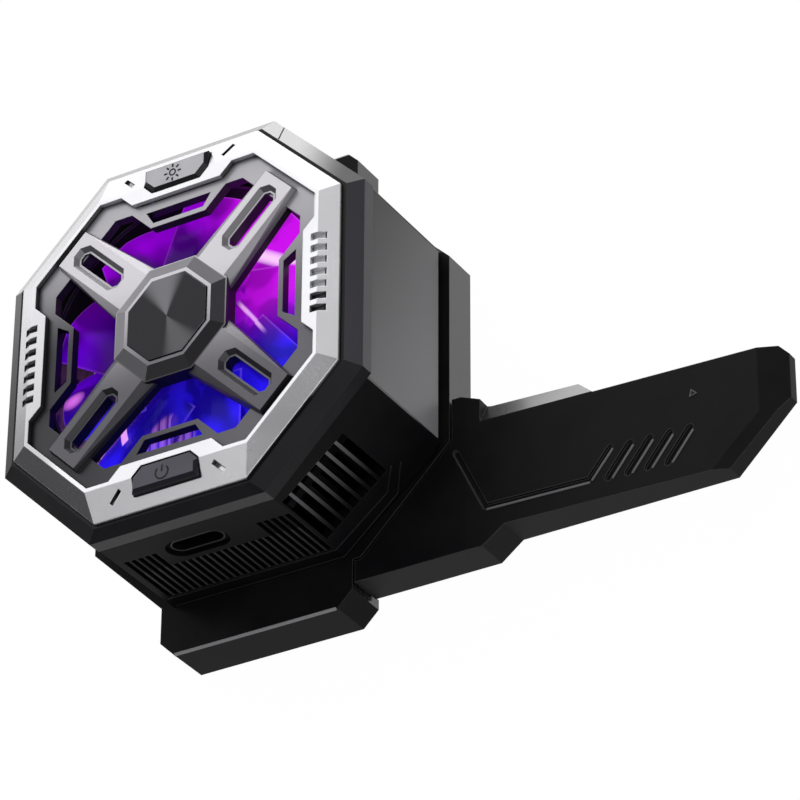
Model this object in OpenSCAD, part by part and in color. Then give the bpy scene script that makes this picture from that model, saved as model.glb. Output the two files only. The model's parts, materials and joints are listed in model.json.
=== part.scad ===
// Phone cooling fan: a clip-on cooler with a lit fan, a cold plate, a sprung jaw and a pull-out arm.
// Millimetres. +Z is the grille side, +Y the light button side and +X the arm side.
// The origin is the middle of the cold face, on the fan's axis.

/* [Bezel] */
// Width of the silver bezel
bezel_w = 56; // [54:0.5:60]
// Height of the silver bezel
bezel_h = 60; // [58:0.5:64]
// Leg of the corner cuts on the bezel's outer edge
bezel_cut = 15; // [14:0.5:16]
// Height of the bezel's upright outer edge
bezel_edge = 1; // [0.8:0.1:1.4]
// Height from the outer edge to the ridge
bezel_rise = 1.4; // [1.2:0.1:1.8]
// How far the bezel's upper edge is set back
bezel_back = 0.5; // [0.3:0.1:0.7]
// Width of the sloped flank at the sides
flank_x = 2.8; // [2.4:0.1:3.2]
// Width of the sloped flank at the top and bottom
flank_y = 4.8; // [4.6:0.1:5.4]
// Leg of the corner cuts on the ridge
ridge_cut = 11.3; // [10.5:0.1:12]
// Width of the flat lip inside the ridge
lip_w = 0.6; // [0.5:0.1:0.8]
// Length of the inner edge of each of the four tabs
tab_len = 15.6; // [14:0.2:17]
// How far each tab reaches in
tab_reach = 2; // [1.6:0.1:2.4]
// Number of dashes in a row beside the grille
dash_count = 7; // [5:1:8]
// Pitch of the dashes
dash_pitch = 2.05; // [1.8:0.05:2.2]
// Length of a dash
dash_len = 2.4; // [2:0.1:2.7]
// Width of a dash
dash_w = 1.15; // [1:0.05:1.3]
// Length of the small slot beside each button
pill_len = 2.4; // [2:0.1:2.8]
// Width of the small slot beside each button
pill_w = 0.7; // [0.6:0.1:0.9]

/* [Buttons] */
// Width of a button at its outer edge
button_w = 11.2; // [10:0.2:12]
// Length of a button from its outer to its inner edge
button_l = 4.2; // [3.9:0.1:4.4]
// Distance from the bezel's outer edge to the button
button_in = 2.1; // [2:0.1:2.3]
// Leg of the cuts on a button's inner corners
button_cut = 1.5; // [1.2:0.1:1.8]
// How far a button stands above the bezel's ridge
button_proud = 0.4; // [0.3:0.1:0.6]
// Width of the bevel round a button's top
button_bevel = 0.5; // [0.4:0.1:0.6]
// Travel of a button
button_travel = 0.6; // [0.4:0.05:0.7]
// Gap round a button
button_gap = 0.15; // [0.12:0.01:0.2]

/* [Grille] */
// Thickness of the grille's ring
grille_t = 1.5; // [1.2:0.1:1.7]
// Width of the ring that shows inside the bezel
ring_w = 3.1; // [2.8:0.1:3.4]
// Leg of the corner cuts on the ring's inner edge
ring_cut = 10.2; // [9.6:0.1:10.8]
// How far the ring is tucked under the bezel
grille_tuck = 1.3; // [1.2:0.1:1.5]
// How far each windowed tab reaches into the grille
window_reach = 3.5; // [3.2:0.1:3.8]
// Length of the inner edge of a windowed tab
window_edge = 9.6; // [9:0.2:10]
// Height of the window in a tab
window_h = 2.1; // [1.9:0.1:2.2]
// Width of a spoke at its foot
spoke_w = 7.2; // [6.9:0.1:7.6]
// How much wider a spoke's foot is at the hub's middle
spoke_flare = 4; // [3.4:0.2:4.6]
// Width of a spoke on top
spoke_top = 6.4; // [6:0.1:6.8]
// Height of the spokes above the ring
spoke_rise = 1; // [0.8:0.1:1.3]
// Width of the slot in a spoke
spoke_slot = 2.2; // [1.8:0.1:2.6]
// Length of the slot in a spoke
spoke_slot_l = 9.6; // [8:0.2:10]
// Width of the octagonal hub at its foot
hub_w = 19.4; // [18:0.2:21]
// Width of the octagonal hub on top
hub_top = 15; // [14.4:0.1:16]
// Height of the hub above the spokes
hub_rise = 0.8; // [0.6:0.1:1.2]
// Width of the octagonal hub cap
cap_w = 13.6; // [12.5:0.1:14]
// Thickness of the hub cap
cap_t = 0.8; // [0.6:0.1:1]
// How far the hub cap stands out of the hub
cap_proud = 0.2; // [0.1:0.05:0.4]

/* [Body] */
// How far the black rim stands out past the bezel at the sides
rim_out_x = 2.9; // [2.6:0.1:3.2]
// How far the black rim stands out past the bezel at the top and bottom
rim_out_y = 1.9; // [1.6:0.1:2.4]
// Leg of the corner cuts on the rim
rim_cut = 15.9; // [15.4:0.1:16.4]
// How far the rim's upper edge lies below the bezel's
rim_low = 0.5; // [0.3:0.1:0.7]
// Drop of the rim's bevel
rim_drop = 2; // [1.6:0.1:2.4]
// Height of the rim's upright wall
rim_wall = 2.3; // [2:0.1:2.8]
// Thickness of the ledge that carries the bezel and the grille
ledge_t = 1.1; // [0.9:0.1:1.3]
// Step from the rim in to the body
body_step = 0.7; // [0.4:0.1:0.8]
// Leg of the corner cuts on the body
body_cut = 14; // [13.6:0.1:14.6]
// Leg along X of the body's corner cuts on the arm's side
body_cut_x = 16.6; // [16:0.1:17]
// Wall of the body
body_wall = 1.6; // [1.4:0.1:1.8]
// Floor of the body
floor_t = 0.8; // [0.7:0.1:1]
// Thickness of a side panel
panel_t = 1.2; // [1:0.1:1.4]
// Height of the groove between the side panels and the base
groove_h = 1.7; // [1.4:0.1:2]
// Height from the base to the vents
vent_rise = 3.2; // [3:0.1:3.6]
// Pitch of the thin vent slots
vent_pitch = 1.2; // [1.1:0.05:1.3]
// Width of a thin vent slot
vent_w = 0.8; // [0.7:0.05:0.85]
// Number of thin vent slots in a row
vent_count = 24; // [20:1:25]
// Height of the short vent slots, under the port
vent_short = 7.8; // [7:0.1:8.2]
// Height of the long vent slots
vent_long = 11.8; // [10:0.1:12]
// Pitch of the wide slots in the corner faces
wide_pitch = 1.95; // [1.8:0.05:2.1]
// Width of a wide slot
wide_w = 1.4; // [1.2:0.05:1.5]
// Height of a wide slot
wide_h = 12.2; // [10:0.1:12.6]
// Number of wide slots in a corner face
wide_count = 7; // [5:1:7]
// Sideways place of the port
port_x = -2.7; // [-3:0.1:0]
// Height of the port above the vents' lower ends
port_rise = 11.1; // [10.8:0.1:12]
// Width of the port's opening
port_w = 9; // [8.8:0.05:9.2]
// Height of the port's opening
port_h = 3.2; // [3.1:0.05:3.3]

/* [Fan] */
// Height of the fan's duct
duct_h = 10; // [9.5:0.1:11]
// Wall of the fan's duct
duct_wall = 1; // [0.8:0.1:1.2]
// Gap from the blade tips to the duct
fan_gap = 0.6; // [0.5:0.05:0.8]
// Diameter of the rotor's hub
rotor_hub_d = 20; // [19:0.2:21]
// Wall of the rotor's hub
rotor_wall = 1.2; // [1:0.1:1.3]
// Number of blades
blade_count = 9; // [7:1:11]
// Thickness of a blade
blade_t = 0.9; // [0.8:0.1:1.1]
// Radius of a blade's curve
blade_curve = 24; // [22:0.5:26]
// Slope of a blade at its upper edge
blade_lead = 9; // [7:0.5:12]
// Angle of the first blade at rest
blade_turn = -10; // [-20:1:20]
// Diameter of the fan's shaft
shaft_d = 1.5; // [1.4:0.05:1.8]
// Wall of the bearing sleeve
bearing_wall = 0.85; // [0.7:0.05:1]
// Wall of the bearing's tube
tube_wall = 1; // [0.8:0.1:1.1]
// Radial thickness of the rotor's magnet
magnet_t = 1.5; // [1.2:0.1:1.7]
// Air gap between the magnet and the stator
air_gap = 0.5; // [0.4:0.05:0.6]
// Wall of the stator's middle ring
core_ring = 0.6; // [0.5:0.1:0.8]
// Thickness of a stator tooth's tip
tooth_tip = 0.9; // [0.8:0.1:1]
// Thickness of the plate under the fan
plate_t = 1.4; // [1.2:0.1:1.6]
// Thickness of the light ring's board
led_t = 0.7; // [0.6:0.05:0.8]
// Height of a light chip
chip_h = 0.5; // [0.4:0.05:0.6]
// Number of light chips
chip_count = 12; // [8:1:16]

/* [Cooling] */
// Thickness of the silicone pad on the cold face
pad_t = 0.8; // [0.6:0.1:1]
// Side of the square cold plate
cold_w = 40; // [38:0.5:41]
// Gap round the cold plate
cold_gap = 0.2; // [0.15:0.01:0.3]
// Thickness of the cold plate
cold_t = 2; // [1.8:0.1:2.4]
// Height of the step that carries the cooling module
step_h = 1; // [0.8:0.1:1.2]
// Side of the square cooling module
module_w = 20; // [18:0.2:20.5]
// Thickness of the cooling module
module_t = 3.6; // [3.4:0.1:4]
// Width of the foam gasket round the cooling module
gasket_w = 2.6; // [2:0.1:2.8]
// Thickness of the heat sink's base
sink_base = 3; // [2.6:0.1:3.4]
// Height of the fins
fin_h = 9.6; // [9:0.1:10.5]
// Thickness of a fin
fin_t = 0.5; // [0.4:0.05:0.7]
// Pitch of the fins
fin_pitch = 1.5; // [1.4:0.05:1.8]

/* [Base and jaws] */
// How far the base's flange stands out past the body
flange_out = 0.9; // [0.7:0.1:1.2]
// Height of the base's back above the cold face
base_lift = 0.4; // [0.3:0.05:0.6]
// Length of the lower lobe past the flange
lobe_reach = 7.4; // [7:0.1:8]
// Left end of the lobes
lobe_left = 18.5; // [17.5:0.1:19]
// Right end of the lobes
lobe_right = 14.8; // [14.2:0.1:15.2]
// Leg of the cuts on the lobes' corners
lobe_cut = 2.5; // [2:0.1:3]
// Depth of the lobes' outer skirts behind the cold face
skirt = 0.8; // [0.5:0.1:1]
// Depth of the claws behind the cold face
claw_h = 6.5; // [5.5:0.1:6.6]
// Thickness of a claw
claw_t = 2; // [1.8:0.1:2.4]
// Length of a claw
claw_l = 23.6; // [22:0.2:25]
// How far the claws' middle lies to the left of the axis
claw_side = 2.7; // [2.4:0.1:3]
// Thickness of a claw's silicone pad
claw_pad = 1; // [0.8:0.1:1.2]
// Distance from the flange's lower edge to the lower claw
claw_in = 1.3; // [1.2:0.1:1.6]
// Length of the upper jaw's lobe past the flange
jaw_reach = 10.6; // [10:0.1:11.4]
// Bevel on the upper jaw's outer edge
jaw_bevel = 0.9; // [0.6:0.1:1.2]
// Travel of the upper jaw
jaw_travel = 11; // [9:0.2:11]
// Gap between the upper jaw and the base
jaw_gap = 0.4; // [0.3:0.05:0.5]
// Thickness of the jaw's sliding tongue
tongue_t = 2.4; // [2:0.1:2.5]
// Width of the jaw's sliding tongue
tongue_w = 24; // [22:0.2:25]
// Length of the ears at the tongue's inner end
ear_l = 2.8; // [2.4:0.1:3.2]
// Diameter of the spring wire
wire_d = 0.45; // [0.4:0.05:0.5]
// Mean diameter of a spring
spring_d = 2; // [1.8:0.05:2.05]
// Number of turns in a spring
spring_turns = 18; // [14:1:20]
// Half width of a spring's room
spring_room = 2; // [1.8:0.1:2.2]
// Wall between a spring's room and the gasket's
spring_wall = 1.2; // [1:0.1:1.4]
// How far an ear reaches past its spring's axis
ear_out = 2.2; // [2:0.1:2.4]
// Sliding clearance
slide_gap = 0.2; // [0.15:0.01:0.25]

/* [Arm] */
// Reach of the arm from the fan's axis to its tip
arm_reach = 84; // [78:0.5:90]
// How far the arm's lower edge lies below the flange
arm_drop = 1.1; // [0.6:0.1:1.6]
// Width of the arm
arm_w = 18; // [17:0.2:19]
// Gap round the arm's root
arm_gap = 0.3; // [0.25:0.01:0.4]
// Leg of the long cut on the tip's lower corner
tip_cut = 9.4; // [8.5:0.1:10]
// Width of the bevel at the tip
tip_bevel = 4.2; // [3.6:0.1:4.8]
// Thickness of the arm at the tip
tip_t = 1.8; // [1.5:0.1:2.2]
// Tilt of the arm's front face
arm_tilt = 3; // [2.6:0.1:3.2]
// Length of the root past the flange
root_l = 5.2; // [4.6:0.1:6]
// How far the root reaches below the arm's lower edge
root_drop = 2.8; // [2.4:0.1:3.2]
// Length of the raised block on the arm's upper edge
block_l = 19.6; // [18:0.2:21]
// Height of the block above the arm's upper edge
block_h = 3.2; // [2.8:0.1:3.6]
// Height of the bump where the block meets the flange
bump_h = 1.9; // [1.4:0.1:2.2]
// Travel of the arm
arm_travel = 16; // [12:0.2:16.4]
// Thickness of the arm's tongue
arm_tongue_t = 2.4; // [2:0.1:2.6]
// Width of the arm's tongue
arm_tongue_w = 7.4; // [6.8:0.1:7.6]
// Diameter of the pin that stops the arm
stop_d = 2; // [1.8:0.05:2.2]
// Thickness of the arm's silicone pad
arm_pad_t = 0.6; // [0.5:0.05:0.8]
// Depth of the lines cut in the arm
line_depth = 0.5; // [0.3:0.05:0.6]
// Width of the lines cut in the arm
line_w = 0.9; // [0.7:0.05:1.1]
// Number of slashes
slash_count = 4; // [3:1:5]

/* [Screws] */
// Diameter of the base's screws
screw_d = 2; // [1.8:0.1:2.2]
// Diameter of a screw's head
head_d = 3.6; // [3.2:0.1:3.8]
// Height of a screw's head
head_h = 1.1; // [0.9:0.1:1.2]
// Radial clearance round a screw
screw_gap = 0.05; // [0.04:0.01:0.08]

/* [Hidden] */
$fn = 48;
eps = 0.01;

// Heights, from the cold face up
z_step = pad_t + cold_t;
z_module = z_step + step_h;
z_sink = z_module + module_t;
z_base = z_sink - floor_t;
z_fins = z_sink + sink_base;
z_plate = z_fins + fin_h;
z_motor = z_plate + plate_t;
z_duct = z_plate + duct_h;
led_gap = 0.3;
z_seat = z_duct + led_t + chip_h + led_gap;
z_edge = z_seat + bezel_edge;
z_ridge = z_edge + bezel_rise;
z_wall = z_edge - rim_drop;
z_rim = z_wall - rim_wall;
z_ring = z_seat + grille_t;
z_spoke = z_ring + spoke_rise;
z_hub = z_spoke + hub_rise;
z_panel = z_base + groove_h;

// Half sizes across the face
ridge_x = bezel_w / 2 - flank_x;
ridge_y = bezel_h / 2 - flank_y;
open_x = ridge_x - lip_w;
open_y = ridge_y - lip_w;
open_cut = ridge_cut - lip_w * (2 - sqrt(2));
ring_x = open_x - ring_w;
ring_y = open_y - ring_w;
tuck_x = open_x + grille_tuck;
tuck_y = open_y + grille_tuck;
ledge_r = min(open_x, open_y) + 0.5;
duct_r = ledge_r - 0.2;
duct_in = duct_r - duct_wall;
fan_r = duct_in - fan_gap;
rim_x = bezel_w / 2 + rim_out_x;
rim_y = bezel_h / 2 + rim_out_y;
body_x = rim_x - body_step;
body_y = rim_y - body_step - 0.7;
room_x = body_x - panel_t - body_wall;
room_y = body_y - body_wall;
room_cut = body_cut + 0.2;
panel_y = body_y - body_cut - 0.3;
flange_x = body_x + flange_out;
flange_y = body_y + flange_out - 0.3;
flange_cut = body_cut + 1;
flange_cut_left = body_cut - 0.4;
button_y = bezel_h / 2 - button_in;

// Jaw slide: the tongue runs from the base's upper edge to the cooling module's gasket
gasket_out = module_w / 2 + 0.3 + gasket_w;
tongue_in = gasket_out + 0.5;
tongue_z = z_module + slide_gap;
spring_x = gasket_out + 0.2 + spring_wall + spring_room;
ear_w = 2 * (spring_x + ear_out);
slot_end = tongue_in + ear_l + jaw_travel + slide_gap;
spring_z = z_module + spring_d / 2 + wire_d / 2 + 0.1;
spring_y0 = -11;
spring_y1 = tongue_in;

// Arm slide
arm_low = flange_y + arm_drop;
arm_top = arm_low - arm_w;
arm_z = z_base - 0.1;
arm_x0 = flange_x + 2.6;
arm_tongue_y = -(arm_low - 6.2);
arm_tongue_z = 2.1;
stop_x = 6;
arm_tongue_in = stop_x - arm_travel - 3;

// An octagon with half sizes x and y and corner cuts of leg c
module octagon(x, y, c) {
    polygon([[x, y - c], [x - c, y], [c - x, y], [-x, y - c], [-x, c - y], [c - x, -y], [x - c, -y], [x, c - y]]);
}

module prism(x, y, c, z0, z1) {
    translate([0, 0, z0]) linear_extrude(z1 - z0) octagon(x, y, c);
}

module tube(r1, r0, z0, z1) {
    translate([0, 0, z0]) difference() {
        cylinder(r = r1, h = z1 - z0);
        if (r0 > 0) translate([0, 0, -1]) cylinder(r = r0, h = z1 - z0 + 2);
    }
}

// A block given by its two corners
module block(a, b) {
    translate(a) cube(b - a);
}

// A solid between two octagons
module frustum(x0, y0, c0, z0, x1, y1, c1, z1) {
    hull() {
        prism(x0, y0, c0, z0, z0 + eps);
        prism(x1, y1, c1, z1 - eps, z1);
    }
}

// A slot with round ends along X, standing along Y
module round_slot(w, h, depth) {
    rotate([90, 0, 0]) translate([0, 0, -depth / 2]) linear_extrude(depth) {
        square([w - h, h], center = true);
        for (s = [-1, 1]) translate([s * (w - h) / 2, 0]) circle(d = h);
    }
}

// Outline of the flange, grown by g
module flange_shape(g = 0) {
    x = flange_x + g;
    y = flange_y + g;
    c = flange_cut + g * (2 - sqrt(2));
    k = flange_cut_left + g * (2 - sqrt(2));
    polygon([[x, y - c], [x - c, y], [k - x, y], [-x, y - k], [-x, k - y], [k - x, -y], [x - c, -y], [x, c - y]]);
}

// Outline of a lobe from the flange's middle to y = out, grown by g
module lobe_shape(out, g = 0) {
    l = -lobe_left - g;
    r = lobe_right + g;
    o = out + g;
    polygon([[l, 0], [r, 0], [r, o - lobe_cut], [r - lobe_cut, o], [l + lobe_cut, o], [l, o - lobe_cut]]);
}

lower_out = flange_y + lobe_reach;
upper_out = flange_y + jaw_reach;
claw_y0 = -(flange_y + claw_in);
claw_y1 = upper_out - 1.6;

// Black base with the fixed lower lobe and its claw
module base_plate() {
    color("#1b1b1d") difference() {
        union() {
            translate([0, 0, base_lift]) linear_extrude(z_base - base_lift) {
                flange_shape();
                mirror([0, 1]) lobe_shape(lower_out);
            }
            // outer skirt and claw of the lower lobe
            translate([0, 0, -skirt]) linear_extrude(skirt + base_lift + eps) intersection() {
                mirror([0, 1]) lobe_shape(lower_out);
                translate([-60, -60]) square([120, 60 + claw_y0 - claw_t + eps]);
            }
            block([-claw_l / 2 - claw_side, claw_y0 - claw_t, -claw_h],
                [claw_l / 2 - claw_side, claw_y0, base_lift + eps]);
        }
        // window for the cold plate and its step
        translate([0, 0, z_step / 2]) cube([cold_w + 2 * cold_gap, cold_w + 2 * cold_gap, z_step], center = true);
        translate([0, 0, z_base]) cube([gasket_out * 2 + 0.4, gasket_out * 2 + 0.4, 20], center = true);
        // slot for the jaw's tongue, with room for its ears and springs
        block([-tongue_w / 2 - slide_gap, 0, z_module], [tongue_w / 2 + slide_gap, 60, z_base + 1]);
        block([-ear_w / 2 - slide_gap, tongue_in - slide_gap, z_module], [ear_w / 2 + slide_gap, slot_end, z_base + 1]);
        for (s = [-1, 1]) translate([s * spring_x, 0, 0])
            block([-spring_room, spring_y0, z_module], [spring_room, tongue_in, z_base + 1]);
        // tunnel for the arm's tongue
        block([arm_tongue_in - 0.4, arm_tongue_y - arm_tongue_w / 2 - slide_gap, arm_tongue_z - slide_gap],
            [60, arm_tongue_y + arm_tongue_w / 2 + slide_gap, arm_tongue_z + arm_tongue_t + slide_gap]);
        translate([stop_x, arm_tongue_y, base_lift + 0.8]) cylinder(d = stop_d + 0.04, h = 20);
        base_screw_places() translate([0, 0, -1]) {
            cylinder(r = screw_d / 2 + 0.15, h = 20);
            cylinder(r = head_d / 2 + 0.15, h = base_lift + head_h + 0.2 + 1);
        }
    }
}

module base_screw_places() {
    mid = (cold_w / 2 + cold_gap + sink_x) / 2;
    for (x = [-1, 1]) for (y = [-1, 1]) translate([x * mid, y * 9, 0]) children();
}

module lower_jaw_pad() {
    color("#3a3b3d") block([1 - claw_l / 2 - claw_side, claw_y0, -claw_h + 0.3],
        [claw_l / 2 - claw_side - 1, claw_y0 + claw_pad, -0.2]);
}

// Sprung upper jaw on a flat tongue with two ears
module upper_jaw() {
    jaw_y = flange_y + jaw_gap;
    color("#1b1b1d") {
        difference() {
            union() {
                translate([0, 0, base_lift]) linear_extrude(z_base - 0.1 - base_lift) intersection() {
                    lobe_shape(upper_out);
                    translate([-60, jaw_y]) square([120, 60]);
                }
                translate([0, 0, -skirt]) linear_extrude(skirt + base_lift + eps) intersection() {
                    lobe_shape(upper_out);
                    translate([-60, claw_y1]) square([120, 60]);
                }
            }
            // bevelled outer edge
            translate([0, upper_out - jaw_bevel, z_base - 0.1]) rotate([-45, 0, 0])
                translate([-60, 0, 0]) cube([120, 20, 10]);
        }
        block([-claw_l / 2 - claw_side, claw_y1 - claw_t, -claw_h],
            [claw_l / 2 - claw_side, claw_y1, base_lift + eps]);
        block([-tongue_w / 2, tongue_in, tongue_z], [tongue_w / 2, jaw_y + 1, tongue_z + tongue_t]);
        block([-ear_w / 2, tongue_in, tongue_z], [ear_w / 2, tongue_in + ear_l, tongue_z + tongue_t]);
    }
}

module upper_jaw_pad() {
    y = claw_y1 - claw_t;
    color("#3a3b3d") block([1 - claw_l / 2 - claw_side, y - claw_pad, -claw_h + 0.3],
        [claw_l / 2 - claw_side - 1, y, -0.2]);
}

// Points of a spring's axis, and the rings of six points round it
function coil(t) = let(a = 360 * spring_turns * t)
    [spring_d / 2 * cos(a), spring_y0 + wire_d / 2 + (spring_y1 - spring_y0 - wire_d) * t, spring_d / 2 * sin(a)];

module spring() {
    n = spring_turns * 8;
    pts = [for (i = [0:n]) let(p = coil(i / n), a = 360 * spring_turns * i / n) for (k = [0:5])
        p + wire_d / 2 * (cos(60 * k) * [cos(a), 0, sin(a)] + sin(60 * k) * [0, 1, 0])];
    sides = [for (i = [0:n - 1]) for (k = [0:5]) let(a = 6 * i + k, b = 6 * i + (k + 1) % 6)
        each [[a, a + 6, b], [b, a + 6, b + 6]]];
    ends = [for (k = [1:4]) each [[0, k, k + 1], [6 * n, 6 * n + k + 1, 6 * n + k]]];
    polyhedron(pts, concat(sides, ends));
}

// Least gap between the turns of a spring
echo(spring_gap = (spring_y1 - spring_y0 - wire_d) / spring_turns - wire_d);

module jaw_springs() {
    color("#b8bcc0") for (s = [-1, 1]) translate([s * spring_x, 0, spring_z]) spring();
}

// Lines, slashes and arrow on the arm, in the plane of its front face
module arm_line(a, b, w) {
    t = w / 2 * (b - a) / norm(b - a);
    n = [-t[1], t[0]];
    polygon([a + n, a - t + n / 2, a - t - n / 2, a - n, b - n, b + t - n / 2, b + t + n / 2, b + n]);
}

module arm_lines() {
    low = -(arm_low - 3.6);
    mid = low + 4.4;
    x1 = 19.6;
    arm_line([-1.6, low + 10.2], [3.2, low], line_w);
    arm_line([3.2, low], [x1, low], line_w);
    arm_line([x1, low], [x1 + 3.4, mid], line_w);
    for (i = [1:slash_count]) translate([3.1 * i, -0.4]) arm_line([x1, low], [x1 + 3.4, mid + 0.2], line_w * 1.3);
}

// Pull-out arm, with its tongue in the base
module side_arm() {
    low = -arm_low;
    top = -arm_top;
    root = flange_x + root_l;
    block_x = arm_x0 + block_l - 2.4;
    color("#1e1e20") {
        difference() {
            translate([0, 0, arm_pad_t]) linear_extrude(arm_z - arm_pad_t) difference() {
                polygon([[0, top + block_h + bump_h], [flange_x + 1.8, top + block_h + bump_h],
                    [arm_x0 + 3, top + block_h + 0.4], [block_x, top + block_h], [block_x + block_h, top], [arm_reach - 1.4, top],
                    [arm_reach, top - 1.4], [arm_reach, low + tip_cut], [arm_reach - tip_cut, low],
                    [root + root_drop + 0.8, low], [root, low - root_drop], [0, low - root_drop]]);
                flange_shape(arm_gap);
                mirror([0, 1]) lobe_shape(lower_out, arm_gap);
                translate([-60, -60]) square([60 + lobe_right + arm_gap, 120]);
            }
            translate([arm_x0, 0, arm_z]) rotate([0, arm_tilt, 0]) {
                translate([0, -60, 0]) cube([120, 80, 20]);
                translate([0, 0, -line_depth]) linear_extrude(10) arm_lines();
                arm_bevels();
            }
        }
        // tongue with its stop slot
        difference() {
            block([arm_tongue_in, arm_tongue_y - arm_tongue_w / 2, arm_tongue_z],
                [flange_x + 4, arm_tongue_y + arm_tongue_w / 2, arm_tongue_z + arm_tongue_t]);
            translate([0, 0, arm_tongue_z - 1]) linear_extrude(arm_tongue_t + 2) {
                for (x = [0, -arm_travel]) translate([stop_x + x, arm_tongue_y]) circle(d = stop_d + 0.4);
                translate([stop_x - arm_travel, arm_tongue_y - stop_d / 2 - 0.2]) square([arm_travel, stop_d + 0.4]);
            }
        }
    }
}

// Sloped band round the tip and sloped front of the upper block, in the plane of the front face
module arm_bevels() {
    tip = arm_reach - arm_x0;
    drop = arm_z - (arm_reach - arm_x0) * tan(arm_tilt) - arm_pad_t - tip_t;
    translate([tip - tip_bevel, 0, 0]) rotate([0, atan(drop / tip_bevel), 0])
        translate([0, -60, 0]) cube([60, 80, 20]);
    translate([tip - 1.2, -arm_low + tip_cut - 1.2, 0]) rotate([0, 0, -45]) translate([-1.7, 0, 0])
        rotate([0, atan(drop / 3), 0]) translate([0, -40, 0]) cube([60, 80, 20]);
    translate([0, 0.1 - arm_top, 0]) rotate([-32, 0, 0]) translate([2.4, 0, 0]) cube([block_l - 1, 20, 20]);
}

module arm_pad() {
    color("#3a3b3d") block([arm_x0 + 8, -(arm_low - 3), 0], [arm_reach - tip_cut - 2, -(arm_top + 3), arm_pad_t]);
}

module arm_stop_pin() {
    color("#b8bcc0") translate([stop_x, arm_tongue_y, base_lift + 0.8]) cylinder(d = stop_d, h = z_base - base_lift - 0.8);
}

module thermal_pad() {
    color("#8d9296") block([1 - cold_w / 2, 1 - cold_w / 2, 0], [cold_w / 2 - 1, cold_w / 2 - 1, pad_t]);
}

module cold_plate() {
    s = module_w / 2 + 0.3;
    color("#c4c8cc") {
        block([-cold_w / 2, -cold_w / 2, pad_t], [cold_w / 2, cold_w / 2, z_step]);
        block([-s, -s, z_step], [s, s, z_module]);
    }
}

// Two ceramic faces with a grid of pellets between them
module cooling_module() {
    h = module_w / 2;
    face = 0.8;
    color("#e8e6e0") {
        block([-h, -h, z_module], [h, h, z_module + face]);
        block([-h, -h, z_sink - face], [h, h, z_sink]);
        for (x = [-3:3]) for (y = [-3:3]) translate([x * module_w / 7.4, y * module_w / 7.4, 0])
            block([-0.7, -0.7, z_module + face - eps], [0.7, 0.7, z_sink - face + eps]);
    }
}

module foam_gasket() {
    i = module_w / 2 + 0.3;
    color("#26272a") difference() {
        block([-gasket_out, -gasket_out, z_module], [gasket_out, gasket_out, z_sink]);
        block([-i, -i, 0], [i, i, z_sink + 1]);
    }
}

sink_x = room_x - 0.4;
sink_y = room_y - 2.4;
boss_d = 4;
boss_at = (duct_r + head_d / 2 + 0.5) / sqrt(2);
sink_cut = room_cut - 1;

module fan_screw_places() {
    for (x = [-1, 1]) for (y = [-1, 1]) translate([x * boss_at, y * boss_at, 0]) children();
}

module heat_sink() {
    n = floor(sink_x / fin_pitch);
    color("#aeb3b8") difference() {
        union() {
            prism(sink_x, sink_y, sink_cut, z_sink, z_fins);
            intersection() {
                prism(sink_x, sink_y, sink_cut, z_fins - eps, z_plate);
                for (i = [-n:n]) translate([i * fin_pitch, 0, 0])
                    block([-fin_t / 2, -60, z_fins - 1], [fin_t / 2, 60, z_plate + 1]);
            }
            fan_screw_places() translate([0, 0, z_fins - eps]) cylinder(d = boss_d, h = z_plate - z_fins + eps);
        }
        base_screw_places() translate([0, 0, z_sink - 1]) cylinder(r = screw_d / 2 + screw_gap, h = 1 + sink_base - 0.8);
        fan_screw_places() translate([0, 0, z_plate - 6.2]) cylinder(r = screw_d / 2 + screw_gap, h = 10);
        // room for the port under the fan's plate
        block([port_x - port_w / 2 - 0.4, -60, port_z - port_h / 2 - 0.4],
            [port_x + port_w / 2 + 0.4, 0.4 - socket_in, z_plate + 1]);
    }
}

module screw(length) {
    cylinder(d = screw_d, h = length);
    cylinder(d = head_d, h = head_h);
}

module base_screws() {
    z = base_lift + 0.2;
    color("#7d8084") base_screw_places() translate([0, 0, z]) screw(z_fins - 1 - z);
}

module fan_screws() {
    color("#7d8084") fan_screw_places() translate([0, 0, z_motor + head_h]) mirror([0, 0, 1]) screw(head_h + plate_t + 6);
}

// Vent slots in the wall facing -Y, shorter where the port sits above them
vent_z = z_base + vent_rise;

module vent_row(port) {
    for (i = [0:vent_count - 1]) let(x = (i - (vent_count - 1) / 2) * vent_pitch - 0.9,
        h = port && x > port_x - 7 && x < port_x + 10 ? vent_short : vent_long)
        translate([x, 0, 0]) block([-vent_w / 2, -body_y - 1, vent_z], [vent_w / 2, -room_y + 1, vent_z + h]);
}

// Outline of the body
module body_shape() {
    x = body_x;
    y = body_y;
    c = body_cut;
    k = body_cut_x;
    polygon([[x, y - c], [x - k, y], [c - x, y], [-x, y - c], [-x, c - y], [c - x, -y], [x - k, -y], [x, c - y]]);
}

// Wide slots in the upper right corner face with leg k along X, starting beside the upper wall
module corner_vents(k) {
    l = norm([k, body_cut]);
    translate([body_x - k / 2, body_y - body_cut / 2, 0]) rotate([0, 0, atan2(k, body_cut)])
    for (i = [0:wide_count - 1]) translate([0, l / 2 - 0.4 - wide_w / 2 - i * wide_pitch, 0])
        block([-6, -wide_w / 2, vent_z + 2.4], [2, wide_w / 2, vent_z + 2.4 + wide_h]);
}

port_z = vent_z + port_rise;

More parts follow.
